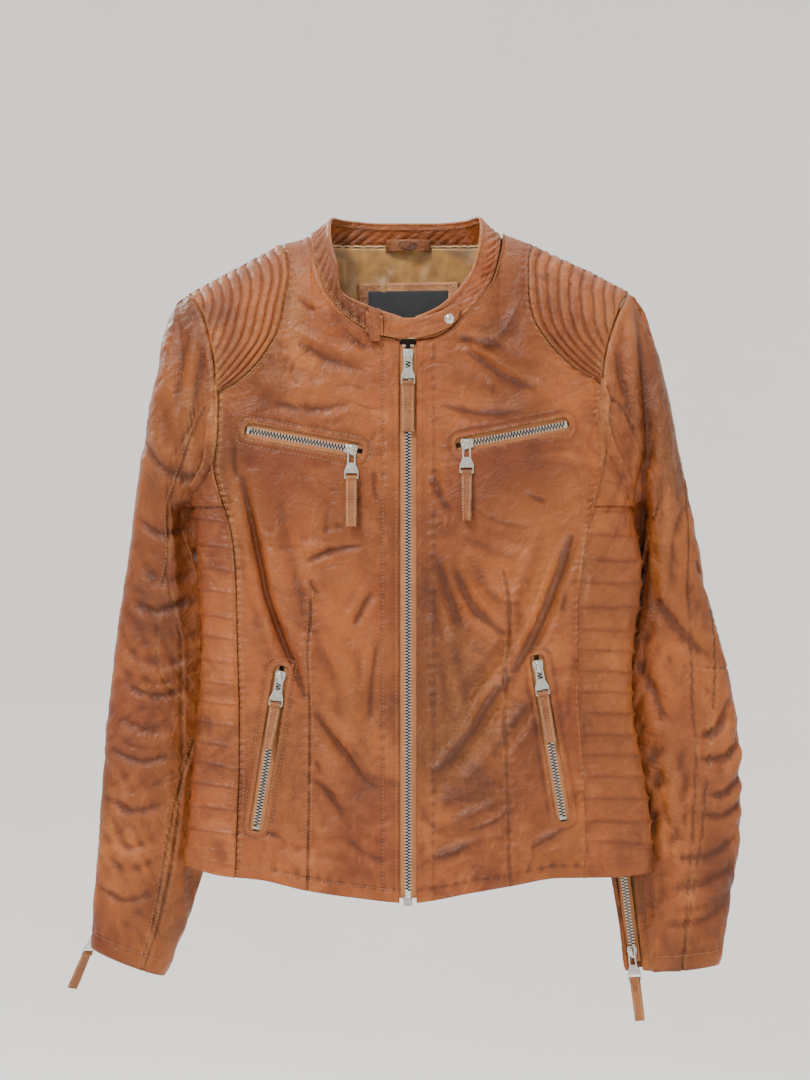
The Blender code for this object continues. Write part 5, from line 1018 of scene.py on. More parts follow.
# ------------------------------------------------------------------------------------- collar
COL_LOW = [(401,341),(376,335),(348,319),(329,298),(314,267),(309.5,243),(309,231),(320,238),(345,239),(376,239),(408,239),(441,239),(471,239),(492,238),(503,231),(502.5,243),(495,275),(482,298),(461,321),(434,339),(415,341)]
COL_TOP = [(401,317),(369,306),(341,290),(338,267),(332,243),(330,226),(331,212),(334,210),(352,211),(379,213),(408,213),(436,213),(463,211),(477,209),(481,211),(481,226),(479,243),(472,269),(449,298),(434,309),(415,317)]
def collar_y(k):
    u, v = COL_LOW[k]
    if k in (6, 14): return 0.0
    front = k < 6 or k > 14
    y = float(depth(u, v, front))
    if k in (5, 15): y = -0.020
    if k in (4, 16): y = -0.034
    if k in (7, 13): y = 0.018
    return y
def collar():
    low = np.array([(u, collar_y(k), v) for k, (u, v) in enumerate(COL_LOW)])
    top = np.array([(u, collar_y(k) * (0.97 if collar_y(k) < 0 else 0.86), v) for k, (u, v) in enumerate(COL_TOP)])
    n = len(low); ks = np.arange(n); fine = np.linspace(0, n - 1, 420)
    cum = np.concatenate([[0], np.cumsum(np.linalg.norm(np.diff((low + top) / 2 * np.array([UNIT, 1, UNIT]), axis=0), axis=1))])
    f2 = np.interp(np.linspace(0, cum[-1], 420), cum, ks)
    def cr(A):
        out = []
        for j in range(3):
            g = pchip(list(zip(ks, A[:, j]))); out.append(g(f2))
        return np.stack(out, axis=-1)
    lo, hi = cr(low), cr(top)
    for _ in range(6):
        lo[1:-1] = (lo[:-2] + 2 * lo[1:-1] + lo[2:]) / 4; hi[1:-1] = (hi[:-2] + 2 * hi[1:-1] + hi[2:]) / 4
    nt = 30; t = np.linspace(0, 1, nt)
    G = lo[None] * (1 - t[:, None, None]) + hi[None] * t[:, None, None]
    U, V = G[..., 0], G[..., 2]
    P = np.stack([X(U), G[..., 1], Z(V)], axis=-1)
    dl, dr, dlow, dtop = edge_dist(P)
    arc = dl
    puck = 0.9 * np.sin(arc / 10.5 * 6.28 + 2.4 * vnoise(arc / 26, t[:, None] * 0.8 + 0 * arc, 5)) * (0.35 + 0.65 * np.clip(0.5 + vnoise(arc / 48, arc * 0, 6), 0, 1))
    h = puck * np.exp(-((dlow - 8) / 9) ** 2) + crumple(U + arc, V, 7, 0.4) * 0.8
    h *= np.clip(dl / 6, 0.2, 1) * np.clip(dr / 6, 0.2, 1)
    h += 0.45 * np.exp(-((dtop - 3.0) / 2.4) ** 2) - 0.55 * np.exp(-((dtop - 6.2) / 1.0) ** 2) - 0.6 * np.exp(-(dtop / 0.8) ** 2)
    h += 0.45 * np.exp(-((dlow - 3.5) / 2.2) ** 2) - 1.1 * np.exp(-(dlow / 1.4) ** 2) - 0.45 * np.exp(-((dlow - 6.2) / 1.0) ** 2)
    N = normals(P); C = np.array([0.0, 0.0, 0.0])
    out = np.sum(N[..., :2] * (P[..., :2] - np.array([0.0, -0.002])), axis=2).mean(); sign = 1.0 if out > 0 else -1.0
    ex = np.zeros(h.shape + (3,)); ex[..., 0] = 0.5 * np.exp(-(dtop / 1.2) ** 2) + 0.25 * np.exp(-((dlow - 3.5) / 2.0) ** 2) * np.clip(vnoise(arc / 15, arc * 0, 3) + 0.3, 0, 1)
    ob, Q, Nn = finish_panel("shell_collar", U, V, P, h, [dlow, dtop, dl, dr], 7, None, extra=ex, thick=0.0022, flip=sign < 0, sign=sign)
    stitch_edge(Q, Nn, dtop, 6.2, axis=0); stitch_edge(Q, Nn, dlow, 2.6, axis=0); stitch_edge(Q, Nn, dlow, 6.2, axis=0)
    # the inside of the band shows at the back of the neck, with its own stitches
    Qi = Q - Nn * 0.0022
    stitch_edge(Qi, -Nn, dtop, 6.0, axis=0, mask=(Q[..., 1] > -0.02)); stitch_edge(Qi, -Nn, dlow, 5.0, axis=0, mask=(Q[..., 1] > 0.0))
    apply_mods(ob)
    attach(ob, BODY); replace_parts(ob, "collar_band")
    SHEETS.append(ob)
    # cream piping along the inner neck seam
    idx = [j for j in range(P.shape[1]) if Q[2, j, 1] > 0.012]
    pts = [Qi[1, j] - Nn[1, j] * 0.0007 for j in idx][::2]
    p = bm_object("neck_piping", tube(pts, 0.0011, 8), M_PIPE)
    return Q, Nn
CQ, CN = collar()

# ------------------------------------------------------------------------------------- lining and the neck's inside
def lining():
    t = np.linspace(0, 1, 250) ** 1.0
    N1, N2 = 60, 128
    path = [(428 + (600 - 428) * j / N1, True) for j in range(N1 + 1)] + [(600 - (600 - 222) * j / N2, False) for j in range(N2 + 1)] + [(222 + (388 - 222) * j / N1, True) for j in range(N1 + 1)]
    u0 = np.array([p[0] for p in path]); fr = np.array([p[1] for p in path])
    rg = ridge(u0)
    lo = rg + LINING_IN / UNIT + 3
    neckf = np.interp(u0, [296,318,346,374,408,434,461,482,518], [262,306,334,349,356,354,337,314,262])
    lo = np.where((u0 > 296) & (u0 < 518), np.where(fr, neckf, 237.5), lo)
    V = lo[None] + 2 + (862 - lo[None] - 2) * t[:, None]
    U = np.repeat(u0[None], len(t), axis=0)
    k = np.clip((V - 492) / 16, 0, 1)
    umin = (arm_l(V) + 13) * (1 - k) + (seam_l(V) - 20) * k; umax = (arm_r(V) - 13) * (1 - k) + (seam_r(V) + 20) * k
    U = np.clip(U, umin, umax)
    y = depth(U, V, fr[None])
    y = np.where(fr[None], np.minimum(y + LINING_IN, -0.003), np.maximum(y - LINING_IN, 0.002))
    P = np.stack([X(U), y, Z(V)], axis=-1)
    for _ in range(3):
        P[:, 1:-1, 1] = (P[:, :-2, 1] + 2 * P[:, 1:-1, 1] + P[:, 2:, 1]) / 4
    N = normals(P)
    cu = U / 34.0
    h = 1.3 * fbm(cu, V / 60.0, 91, 3) + 0.9 * (1 - np.abs(fbm(U / 16.0 + 0.8 * vnoise(U / 40, V / 40, 3), V / 44.0, 97, 2))) + 0.35 * vnoise(U / 5.5, V / 12, 99)
    # satin gathers hanging from the neck seam
    h += np.where((~fr)[None] & (V < 330), 0.8 * np.sin(U / 7.5 + 1.6 * vnoise(U / 22, V / 50, 12)) * np.clip((V - 244) / 30, 0, 1), 0)
    h *= np.clip((V - 239) / 18.0, 0.1, 1)
    h = np.clip(h * 2.1 + 0.9 * (1 - np.abs(vnoise(U / 9.0 + 1.2 * vnoise(U / 30, V / 30, 8), V / 22.0, 44))), -1.0, 5.2)
    sgn = np.where(fr, 1.0, 1.0)
    inward = np.stack([0 * U, np.where(fr[None], 1.0, -1.0) + 0 * U, 0 * U], axis=-1)
    P = P + inward * (h * 0.001)[..., None]
    ob = grid_object("neck_lining", P, M_SATIN, thick=0.0006)
    apply_mods(ob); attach(ob, BODY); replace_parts(ob, "body_lining"); SHEETS.append(ob)
lining()
YL = min(float(depth(u, 300, False)) for u in (357, 408, 460)) - LINING_IN - 0.0008
def plate_xz(name, corners, half, yc, mat, node, seed, bow=0.0006, nx=60, ny=34, body=BODY, tone=False):
    """a soft flat piece facing the front, from four grid corners tl, tr, br, bl"""
    c = np.array(corners, float); s = np.linspace(0, 1, nx); t = np.linspace(0, 1, ny); S, T = np.meshgrid(s, t)
    G = (c[0] * (1 - S)[..., None] + c[1] * S[..., None]) * (1 - T)[..., None] + (c[3] * (1 - S)[..., None] + c[2] * S[..., None]) * T[..., None]
    U, V = G[..., 0], G[..., 1]
    edge = np.minimum(np.minimum(S, 1 - S) * 90, np.minimum(T, 1 - T) * 48)
    Y = yc - half + bow * fbm(S * 3.2, T * 2.4, seed) * 0.8 + 0.0004 * np.exp(-(edge / 1.5) ** 2)
    P = np.stack([X(U), Y, Z(V)], axis=-1)
    at = None
    if tone:
        w = np.zeros(P.shape); w[..., 0] = 0.5 * np.exp(-(edge / 1.5) ** 2) + 0.25
        at = dict(tone=np.zeros(P.shape) + np.array([0.05, 0.2, 0.0]), wear_and_shade=w)
    ob = grid_object(name, P, mat, at, thick=half * 2)
    N = normals(P)
    if N[..., 1].mean() > 0:
        ob.data.flip_normals(); N = -N
    apply_mods(ob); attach(ob, body)
    if node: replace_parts(ob, node)
    return ob, P, N, S, T
lp, P, N, S, T = plate_xz("neck_patch", [(357,276),(460,274),(461,328),(358,330)], 0.0005, YL - 0.0012, M_PATCH, "label_patch", 5, tone=True)
SHEETS.append(lp)
sx, sy = 0.035, 0.065
for (a0, b0), (a1, b1) in (((sx, sy), (1 - sx, sy)), ((1 - sx, sy), (1 - sx, 1 - sy)), ((1 - sx, 1 - sy), (sx, 1 - sy)), ((sx, 1 - sy), (sx, sy))):
    pp, nn = [], []
    for k in range(40):
        a, b = a0 + (a1 - a0) * k / 39, b0 + (b1 - b0) * k / 39
        i, j = min(33, int(b * 33)), min(59, int(a * 59)); pp.append(P[i, j]); nn.append(N[i, j])
    ST.run(pp, nn, pitch=0.003, length=0.002)
lb, P2, N2, S2, T2 = plate_xz("neck_label", [(367,284),(449,283),(450,322),(368,323)], 0.0003, YL - 0.0026, M_LABEL, "label", 8, bow=0.0003)
SHEETS.append(lb)

def hanging_loop():
    s = np.linspace(0, 1, 70); w = np.linspace(-1, 1, 14); S, W = np.meshgrid(s, w)
    U = 385 + 47 * S; half = 6.4 * (1 - 0.10 * np.sin(math.pi * S))
    V = 237.5 - W * half
    Y = 0.0300 - 0.0105 * np.sin(math.pi * S) ** 0.6 - 0.0005 * (1 - W * W)
    P = np.stack([X(U), Y, Z(V)], axis=-1)
    w_ = np.zeros(P.shape); w_[..., 0] = 0.35 * np.abs(W) ** 6
    tone = np.zeros(P.shape) + np.array([0.2, 0.1, 0.1])
    # a dark oval in the loop's middle
    tone[..., 2] = np.where(((U - 408) / 10.0) ** 2 + (W / 0.72) ** 2 < 1, 1.0, 0.05)
    ob = grid_object("hang_loop", P, M_TAB, dict(tone=tone, wear_and_shade=w_), thick=0.0014)
    N = normals(P)
    if N[..., 1].mean() > 0: ob.data.flip_normals(); N = -N
    for k in (2, 11): ST.run(list(P[k]), list(N[k]), pitch=0.003, length=0.002, r=0.0003)
    apply_mods(ob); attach(ob, BODY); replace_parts(ob, "hanger_loop"); SHEETS.append(ob)
    # a thin dark oval disc on its middle
    bm = bmesh.new(); ring0, ring1 = [], []
    for k in range(28):
        a = 2 * math.pi * k / 28
        u, v = 407.5 + 10.2 * math.cos(a), 237.5 + 4.6 * math.sin(a)
        s_ = (u - 385) / 47; y = 0.0300 - 0.0105 * math.sin(math.pi * s_) ** 0.6 - 0.0006
        ring0.append(bm.verts.new((X(u), y - 0.0004, Z(v)))); ring1.append(bm.verts.new((X(u), y + 0.0005, Z(v))))
    bm.faces.new(ring0); bm.faces.new(ring1[::-1])
    for k in range(28): bm.faces.new((ring0[k], ring1[k], ring1[(k+1) % 28], ring0[(k+1) % 28]))
    o = bm_object("loop_oval", bm, leather("leather_dark_oval", (0.06, 0.022, 0.012), (0.04, 0.016, 0.010), (0.02, 0.01, 0.008), 0.4, False))
hanging_loop()

# ------------------------------------------------------------------------------------- strap, keeper, snap
STRAP_Y = -0.0520
def strap_piece(name, u0, u1, round_end, body, node):
    s = np.linspace(0, 1, 100); w = np.linspace(-1, 1, 20)
    if round_end: s = 1 - (1 - s) ** 1.0
    u = u0 + (u1 - u0) * s; hgt = np.full(u.shape, 10.0)
    if round_end:
        e = u1 - 10.0
        hgt = np.where(u > e, np.sqrt(np.maximum(0.0, 1 - (np.maximum(u - e, 0) / 10.0) ** 2)) * 9.6 + 0.4, 10.0)
    c = 329 - 10 * ((u - 409) / 38) ** 2 * np.where(u > 409, 1, 0.5)
    U = np.repeat(u[None], 20, axis=0); V = c[None] + w[:, None] * hgt[None]
    edge = np.minimum((1 - np.abs(w))[:, None] * hgt[None] * 0.9, (u1 - U) * 0.9 + (0 if round_end else 9))
    y = STRAP_Y - 0.0008 - 0.00045 * (1 - np.exp(-(edge / 1.6) ** 2)) + 0.0003 * fbm(U / 16, V / 9, 13) + 0.00035 * np.exp(-((edge - 2.6) / 0.6) ** 2)
    P = np.stack([X(U), y, Z(V)], axis=-1)
    wv = np.zeros(P.shape); wv[..., 0] = 0.55 * np.exp(-(edge / 1.2) ** 2) + 0.15 * np.clip(fbm(U / 9, V / 9, 4), 0, 1)
    ob = grid_object(name, P, M_LEATHER, dict(tone=tone_of(U, V, 17), wear_and_shade=wv), thick=0.0017)
    N = normals(P)
    if N[..., 1].mean() > 0: ob.data.flip_normals(); N = -N
    m = np.ones(edge.shape, bool)
    for k in (1, -1):
        F = w[:, None] * hgt[None] * 0.9 * k + 0 * U
        g = (hgt[None] * 0.9 - 2.6) - F
        a, b = iso(P, N, g, 0.0, 0)
        if len(a) > 3: ST_STRAP[body].run(a, b, pitch=0.003, length=0.0021)
    apply_mods(ob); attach(ob, body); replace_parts(ob, node); SHEETS.append(ob)
    return ob
ST_STRAP = {BODY: ST, "strap": Stitcher()}
strap_piece("strap_end", 366, 383.4, False, BODY, "strap_base")
strap_piece("strap_flap", 384.2, 459.5, True, "strap", "strap_tab")
ST_STRAP["strap"].build("strap_stitches", M_THREAD, "strap")
bm = bmesh.new()
# the keeper: a closed leather loop standing across the strap
prof = []
for k in range(40):
    a = 2 * math.pi * k / 40; c, s = math.cos(a), math.sin(a)
    prof.append((0.0140 * math.copysign(abs(c) ** 0.35, c), 0.00165 * math.copysign(abs(s) ** 0.7, s)))
rows = []
for j in range(9):
    x = -0.0050 + 0.0100 * j / 8; g = 1.0 - 0.25 * abs(2 * j / 8 - 1) ** 6
    rows.append(([bm.verts.new((x, b * 1.0 - 0.0000 - math.copysign(0.00045 * g, b), a)) for a, b in [(p[0] * 1.045, p[1]) for p in prof]],
                 [bm.verts.new((x, b * 1.0 + math.copysign(0.00035, b) * 1, a * 0.94)) for a, b in prof]))
def mk(v): return v
rows2 = []
bm.free(); bm = bmesh.new()
for j in range(9):
    x = -0.0050 + 0.0100 * j / 8; e = abs(2 * j / 8 - 1) ** 8
    outer = [bm.verts.new((x, b / 0.00165 * (0.00210 - 0.0003 * e), a / 0.0140 * (0.0150 - 0.0003 * e))) for a, b in prof]
    inner = [bm.verts.new((x, b / 0.00165 * 0.00122, a / 0.0140 * 0.0129)) for a, b in prof]
    rows2.append((outer, inner))
n = len(prof)
for (o0, i0), (o1, i1) in zip(rows2[:-1], rows2[1:]):
    for k in range(n):
        q = (k + 1) % n
        bm.faces.new((o0[k], o0[q], o1[q], o1[k])); bm.faces.new((i0[q], i0[k], i1[k], i1[q]))
for (o, i) in (rows2[0], rows2[-1]):
    for k in range(n):
        q = (k + 1) % n; bm.faces.new((o[k], i[k], i[q], o[q]))
keeper = bm_object("keeper_loop", bm, M_LEATHER, Matrix.Translation((X(374.5), STRAP_Y, Z(326))))
at = keeper.data.attributes
for key, val in (("tone", (0.3, 0.1, 0.45)), ("wear_and_shade", (0.10, 0.1, 0.0))):
    q = at.new(key, "FLOAT_COLOR", "POINT"); q.data.foreach_set("color", np.tile(np.array([*val, 1.0], np.float32), len(keeper.data.vertices)))
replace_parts(keeper, "strap_keeper")
def lathe(profile, steps=36):
    bm = bmesh.new(); rings = []
    for r, h in profile:
        if r < 1e-7: rings.append([bm.verts.new((0, 0, h))])
        else: rings.append([bm.verts.new((r * math.cos(2*math.pi*k/steps), r * math.sin(2*math.pi*k/steps), h)) for k in range(steps)])
    for a, b in zip(rings[:-1], rings[1:]):
        for k in range(steps):
            q = (k + 1) % steps
            if len(a) == 1: bm.faces.new((a[0], b[k], b[q]))
            elif len(b) == 1: bm.faces.new((a[q], a[k], b[0]))
            else: bm.faces.new((a[k], a[q], b[q], b[k]))
    return bm
FRONT = Matrix(((1, 0, 0, 0), (0, 0, -1, 0), (0, 1, 0, 0), (0, 0, 0, 1)))
cap = bm_object("snap_dome", lathe([(0, 0.0024), (0.0014, 0.00232), (0.0026, 0.0020), (0.0036, 0.00150), (0.0040, 0.00105), (0.0043, 0.00115), (0.0046, 0.0009), (0.0047, 0.0005), (0.0045, 0.0002), (0, 0.0002)]),
                M_NICKEL, Matrix.Translation((X(449), STRAP_Y - 0.0010, Z(320))) @ FRONT, body="strap")
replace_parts(cap, "snap_cap")
stud = bm_object("snap_socket", lathe([(0, 0.0009), (0.0016, 0.0009), (0.0019, 0.0006), (0.0026, 0.0006), (0.0030, 0.0009), (0.0034, 0.0005), (0.0034, 0.0001), (0, 0.0001)]),
                 M_NICKEL, Matrix.Translation((X(449), STRAP_Y + 0.0022, Z(320))) @ FRONT)
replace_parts(stud, "snap_stud")

# ------------------------------------------------------------------------------------- zips
def tooth_row(bm, side, y0, y1, pitch=0.0028, phase=0.0, z=-0.0022, closed=True):
    """one row of metal teeth clamped on the tape's edge; side +1 or -1"""
    y = y0 - phase
    while y > y1:
        x0, x1 = (0.0002 if closed else 0.0008), 0.0033
        hw = pitch * 0.27
        prof = [(x0, -hw * 0.9), (x0 + 0.0009, -hw * 1.1), (x1, -hw * 0.8), (x1, hw * 0.8), (x0 + 0.0009, hw * 1.1), (x0, hw * 0.9)]
        lo = [bm.verts.new((side * x, y + q, z - 0.0009)) for x, q in prof]; hi = [bm.verts.new((side * x * 1.0, y + q * 0.8, z + 0.0009)) for x, q in prof]
        n = len(prof)
        bm.faces.new(lo); bm.faces.new(hi[::-1])
        for k in range(n): bm.faces.new((lo[k], hi[k], hi[(k+1) % n], lo[(k+1) % n]))
        y -= pitch
def tape_strip(x0, x1, y0, y1, z, thick=0.0006, holes=None, n=160):
    s = np.linspace(x0, x1, 9); t = np.linspace(y0, y1, n); Xg, Yg = np.meshgrid(s, t)
    Zg = z + thick / 2 + 0.00012 * fbm(Xg * 600, Yg * 90, 5) + 0.00018 * np.exp(-((np.abs(Xg) - 0.0048) / 0.0006) ** 2)
    return np.stack([Xg, Yg, Zg], axis=-1)
def to_world(P, M):
    m = np.array(M); return P @ m[:3, :3].T + m[:3, 3]
def zip_tape(name, frame, L, half, node, sides=(-1, 1), closed_all=True, extend=0.004):
    verts, faces = [], []
    for sd in sides:
        P = to_world(tape_strip(sd * 0.0022, sd * half, extend, -L - extend, -0.0023), frame)
        base = len(verts); nv, nu = P.shape[:2]; verts += [tuple(p) for p in P.reshape(-1, 3)]
        for i in range(nv - 1):
            for j in range(nu - 1):
                q = (base + i*nu + j, base + i*nu + j + 1, base + (i+1)*nu + j + 1, base + (i+1)*nu + j)
                faces.append(q if sd < 0 else q[::-1])
    me = bpy.data.meshes.new(name); me.from_pydata(verts, [], faces); me.update()
    ob = link(bpy.data.objects.new(name, me)); me.materials.append(M_TAPE)
    n = np.array(frame)[:3, 2]; avg = np.mean([np.array(p.normal) for p in me.polygons], axis=0)
    if avg @ n < 0: me.flip_normals()
    m = ob.modifiers.new("t", "SOLIDIFY"); m.thickness = 0.0006; m.offset = -1; apply_mods(ob)
    ob.data.polygons.foreach_set("use_smooth", np.ones(len(ob.data.polygons), bool))
    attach(ob, BODY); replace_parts(ob, node) if isinstance(node, str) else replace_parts(ob, *node)
    SHEETS.append(ob)
    return ob
def slider_obj(name, M, turn, body, node):
    bm = prism([(-.0030,0),(.0030,0),(.0041,-.0007),(.0048,-.0020),(.0048,-.0042),(.0041,-.0075),(.0037,-.0104),(.0032,-.0110),(-.0032,-.0110),(-.0037,-.0104),(-.0041,-.0075),(-.0048,-.0042),(-.0048,-.0020),(-.0041,-.0007)], -.00075, .00030)
    me = bpy.data.meshes.new("t"); bm.to_mesh(me); bm.free()
    parts = [me]
    bm = prism([(-.0030,0),(.0030,0),(.0048,-.0018),(.0048,-.0042),(.0036,-.0110),(-.0036,-.0110),(-.0048,-.0042),(-.0048,-.0018)], -.0048, -.0036)
    me = bpy.data.meshes.new("t"); bm.to_mesh(me); bm.free(); parts.append(me)
    bm = bmesh.new(); add_box(bm, (-.00035, -.0030, -.0044), (.00035, -.0002, -.0002)); me = bpy.data.meshes.new("t"); bm.to_mesh(me); bm.free(); parts.append(me)
    # the bail
    outl = [(.0010,0),(.0010,.0024),(.0013,.0030),(.0020,.0034),(.0080,.0034),(.0087,.0030),(.0090,.0024),(.0090,0),(.0078,0),(.0078,.0020),(.0074,.0024),(.0026,.0024),(.0022,.0020),(.0022,0)]
    bm = prism(outl, -.0014, .0014); bm.transform(Matrix(((0, 0, 1, 0), (-1, 0, 0, 0), (0, 1, 0, 0), (0, 0, 0, 1))))
    mid = Matrix.Translation((0, -.0050, 0)); bm.transform(mid @ Matrix.Rotation(turn, 4, "Z") @ mid.inverted())
    me = bpy.data.meshes.new("t"); bm.to_mesh(me); bm.free(); parts.append(me)
    bm = bmesh.new()
    for p in parts: bm.from_mesh(p)
    ob = bm_object(name, bm, M_NICKEL, M, body=None, bevel=0.00018, seg=2)
    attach(ob, body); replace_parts(ob, node); return ob
def puller_obj(name, M, body, node):
    o = [(-.0028,.0006),(.0028,.0006),(.0034,.0000),(.0037,-.0012),(.0040,-.0120),(.0050,-.0150),(.0062,-.0178),(.0064,-.0246),(.0060,-.0256),(-.0060,-.0256),(-.0064,-.0246),(-.0062,-.0178),(-.0050,-.0150),(-.0040,-.0120),(-.0037,-.0012),(-.0034,.0000)]
    win = [(-.0020,-.0006),(.0020,-.0006),(.0023,-.0110),(-.0023,-.0110)]; slot_ = [(-.0053,-.0205),(.0053,-.0205),(.0053,-.0238),(-.0053,-.0238)]
    bm = prism(o, -.0006, .0006, holes=(win, slot_))
    ob = bm_object(name, bm, M_NICKEL, M, body=None, bevel=0.00022, seg=2)
    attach(ob, body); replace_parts(ob, node); return ob
def tab_obj(name, M, length, width, body, node, twist=0.0, bend=0.0):
    """a strip folded round the bar: two layers, stitched near its edges, slightly dished"""
    prof = []; r = 0.00195
    n = 16; a0, a1 = -math.pi / 2 + 0.55, -math.pi / 2 - 0.55 + 2 * math.pi
    down = 46
    for k in range(down): prof.append((0.00055, -length + (length - 0.0026) * k / (down - 1) ))
    for k in range(n + 1):
        a = a0 + (a1 - a0) * k / n; prof.append((r * math.cos(a), r * math.sin(a)))
    for k in range(down): prof.append((-0.00055, -0.0026 - (length - 0.0026) * k / (down - 1)))
    prof = np.array(prof)
    W = np.linspace(-1, 1, 13); w = width / 2
    Pz = np.repeat(prof[:, 0][:, None], 13, axis=1); Py = np.repeat(prof[:, 1][:, None], 13, axis=1)
    taper = 1 - 0.05 * np.clip(-Py / length, 0, 1)
    Px = W[None] * w * taper
    k = np.clip(-Py / length, 0, 1)
    edge = (1 - np.abs(W))[None] * w * 1000
    sgn = np.sign(Pz)
    Pz = Pz + sgn * (0.00018 * (1 - np.exp(-(edge / 0.9) ** 2)))
    th = twist * k ** 1.3
    x2 = Px * np.cos(th) - Pz * np.sin(th); z2 = Px * np.sin(th) + Pz * np.cos(th)
    z2 = z2 + bend * k ** 2 + 0.00025 * np.sin(k * 7.0) * k
    P = np.stack([x2, Py, z2], axis=-1)
    P = to_world(P, M)
    # thickness inwards
    N = normals(P); c = to_world(np.array([[0, -length * .5, 0]]), M)[0]
    front = N[10].mean(axis=0); out = np.array(M)[:3, 2]
    wear_and_shade = np.zeros(P.shape); wear_and_shade[..., 0] = 0.85 * np.exp(-(edge / 0.9) ** 2) + 0.06
    tone = np.zeros(P.shape) + np.array([0.1, 0.25, 0.05])
    ob = grid_object(name, P, M_TAB, dict(tone=tone, wear_and_shade=wear_and_shade), thick=0.0)
    ok = (np.array(ob.data.polygons[5].normal) @ out)
    s = 1.0 if ok > 0 else -1.0
    if s < 0: ob.data.flip_normals()
    m = ob.modifiers.new("t", "SOLIDIFY"); m.thickness = 0.00095 if True else 0; m.offset = 0.0
    apply_mods(ob)
    ob.data.polygons.foreach_set("use_smooth", np.ones(len(ob.data.polygons), bool))
    st = Stitcher(); nn = N if (N[10].mean(axis=0) @ out) > 0 else -N
    for j in (2, 10): st.run([P[i, j] + nn[i, j] * 0.0005 for i in range(1, down)], [nn[i, j] for i in range(1, down)], pitch=0.0026, length=0.0018, r=0.0003)
    so = st.build(name + "_stitches", M_PALE, body)
    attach(ob, body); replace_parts(ob, node); SHEETS.append(ob)
    return ob
BAR, LOOP_BAR = (-0.0060, 0.0014), 0.0247
def zip_metal(z, frame, L, slider_at, hang=0.0, lift=0.0, tab_len=0.044, tab_w=0.0098, flip=False, twist=0.0, bend=0.0):
    S = Matrix.Translation((0, -slider_at, 0))
    if flip: S = S @ Matrix.Rotation(math.pi, 4, "Z")
    slider_obj(z + "_run", frame @ S, hang, z + "_slider", z + "_slider")
    P = frame @ S @ Matrix.Translation((0, -.0050, 0)) @ Matrix.Rotation(hang, 4, "Z") @ Matrix.Translation((0, BAR[0] + .0050, BAR[1])) @ Matrix.Rotation(-lift, 4, "X")
    puller_obj(z + "_pull", P, z + "_puller", z + "_puller")
    T = P @ Matrix.Translation((0, -LOOP_BAR, 0))
    tab_obj(z + "_strip", T, tab_len, tab_w, z + "_tab", z + "_tab", twist, bend)
def teeth_obj(z, frame, L, y0, y1, node, open_part=None):
    bm = bmesh.new()
    tooth_row(bm, 1, y0, y1); tooth_row(bm, -1, y0, y1, phase=0.0014)
    if open_part:
        a, b = open_part
        tooth_row(bm, 1, a, b, closed=False); tooth_row(bm, -1, a, b, phase=0.0014, closed=False)
    # bottom stop
    add_box(bm, (-.0031, y1 - .0030, -.0032), (.0031, y1 - .0006, -.0010))
    ob = bm_object(z + "_rows", bm, M_TEETH, frame, smooth=False)
    if node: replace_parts(ob, *node)
    return ob

f, L = FRAMES["main_zip"]
zip_tape("main_tape_a", f, L, 0.0100, "main_zip_tape_l", sides=(-1,), extend=0.0)
zip_tape("main_tape_b", f, L, 0.0100, "main_zip_tape_r", sides=(1,), extend=0.0)
for side, sg, ph in (("l", -1, 0.0014), ("r", 1, 0.0)):
    bm = bmesh.new(); tooth_row(bm, sg, -.0150, -L + .0010, phase=ph)
    # the top stop, and on one side the bottom stop at the lower end
    add_box(bm, (min(sg*.0022, sg*.0050), -.0020, -.0030), (max(sg*.0022, sg*.0050), .0010 - .0012, -.0006))
    if sg > 0:
        add_box(bm, (-.0040, -L - .0070, -.0036), (.0040, -L - .0004, -.0008))
        add_box(bm, (-.0030, -L - .0060, -.0008), (.0030, -L - .0014, -.0005))
    ob = bm_object("main_rows_" + side, bm, M_TEETH, f, bevel=0.0, smooth=False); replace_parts(ob, "main_zip_teeth_" + side)
zip_metal("main_zip", f, L, 0.0040, tab_len=0.0440, tab_w=0.0112)
Sg, Tg = np.meshgrid(np.linspace(-0.0125, 0.0125, 15), np.linspace(0.0055, -L + 0.006, 300))
Gp = to_world(np.stack([Sg, Tg, -0.0064 + 0.00025 * fbm(Sg * 300, Tg * 60, 3)], axis=-1), f)
gd = grid_object("zip_guard", Gp, M_DARK, thick=0.0007)
if np.array(gd.data.polygons[10].normal) @ np.array(f)[:3, 2] < 0: gd.data.flip_normals()
apply_mods(gd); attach(gd, BODY); SHEETS.append(gd)
for z, at, from_b, kw in (("chest_zip_l", 0.0035, False, dict(lift=math.radians(6), tab_len=0.0440, tab_w=0.0096)),
                          ("chest_zip_r", 0.0035, False, dict(lift=math.radians(6), tab_len=0.0440, tab_w=0.0090, twist=0.9)),
                          ("pocket_zip_l", 0.0035, False, dict(lift=math.radians(2.5), tab_len=0.0400, tab_w=0.0096, twist=0.8, bend=0.001)),
                          ("pocket_zip_r", 0.0035, False, dict(lift=math.radians(2.5), tab_len=0.0440, tab_w=0.0096, twist=0.25))):
    f, L = FRAMES[z]
    hang = 0.0
    if "chest" in z:
        d = f.to_3x3().inverted() @ Vector((0, 0, -1)); hang = math.atan2(d.x, -d.y)
    zip_tape(z + "_band", f, L, 0.0100, z + "_tape")
    teeth_obj(z, f, L, -.0150, -L + .0032, (z + "_teeth",))
    zip_metal(z, f, L, at, hang=hang, **kw)
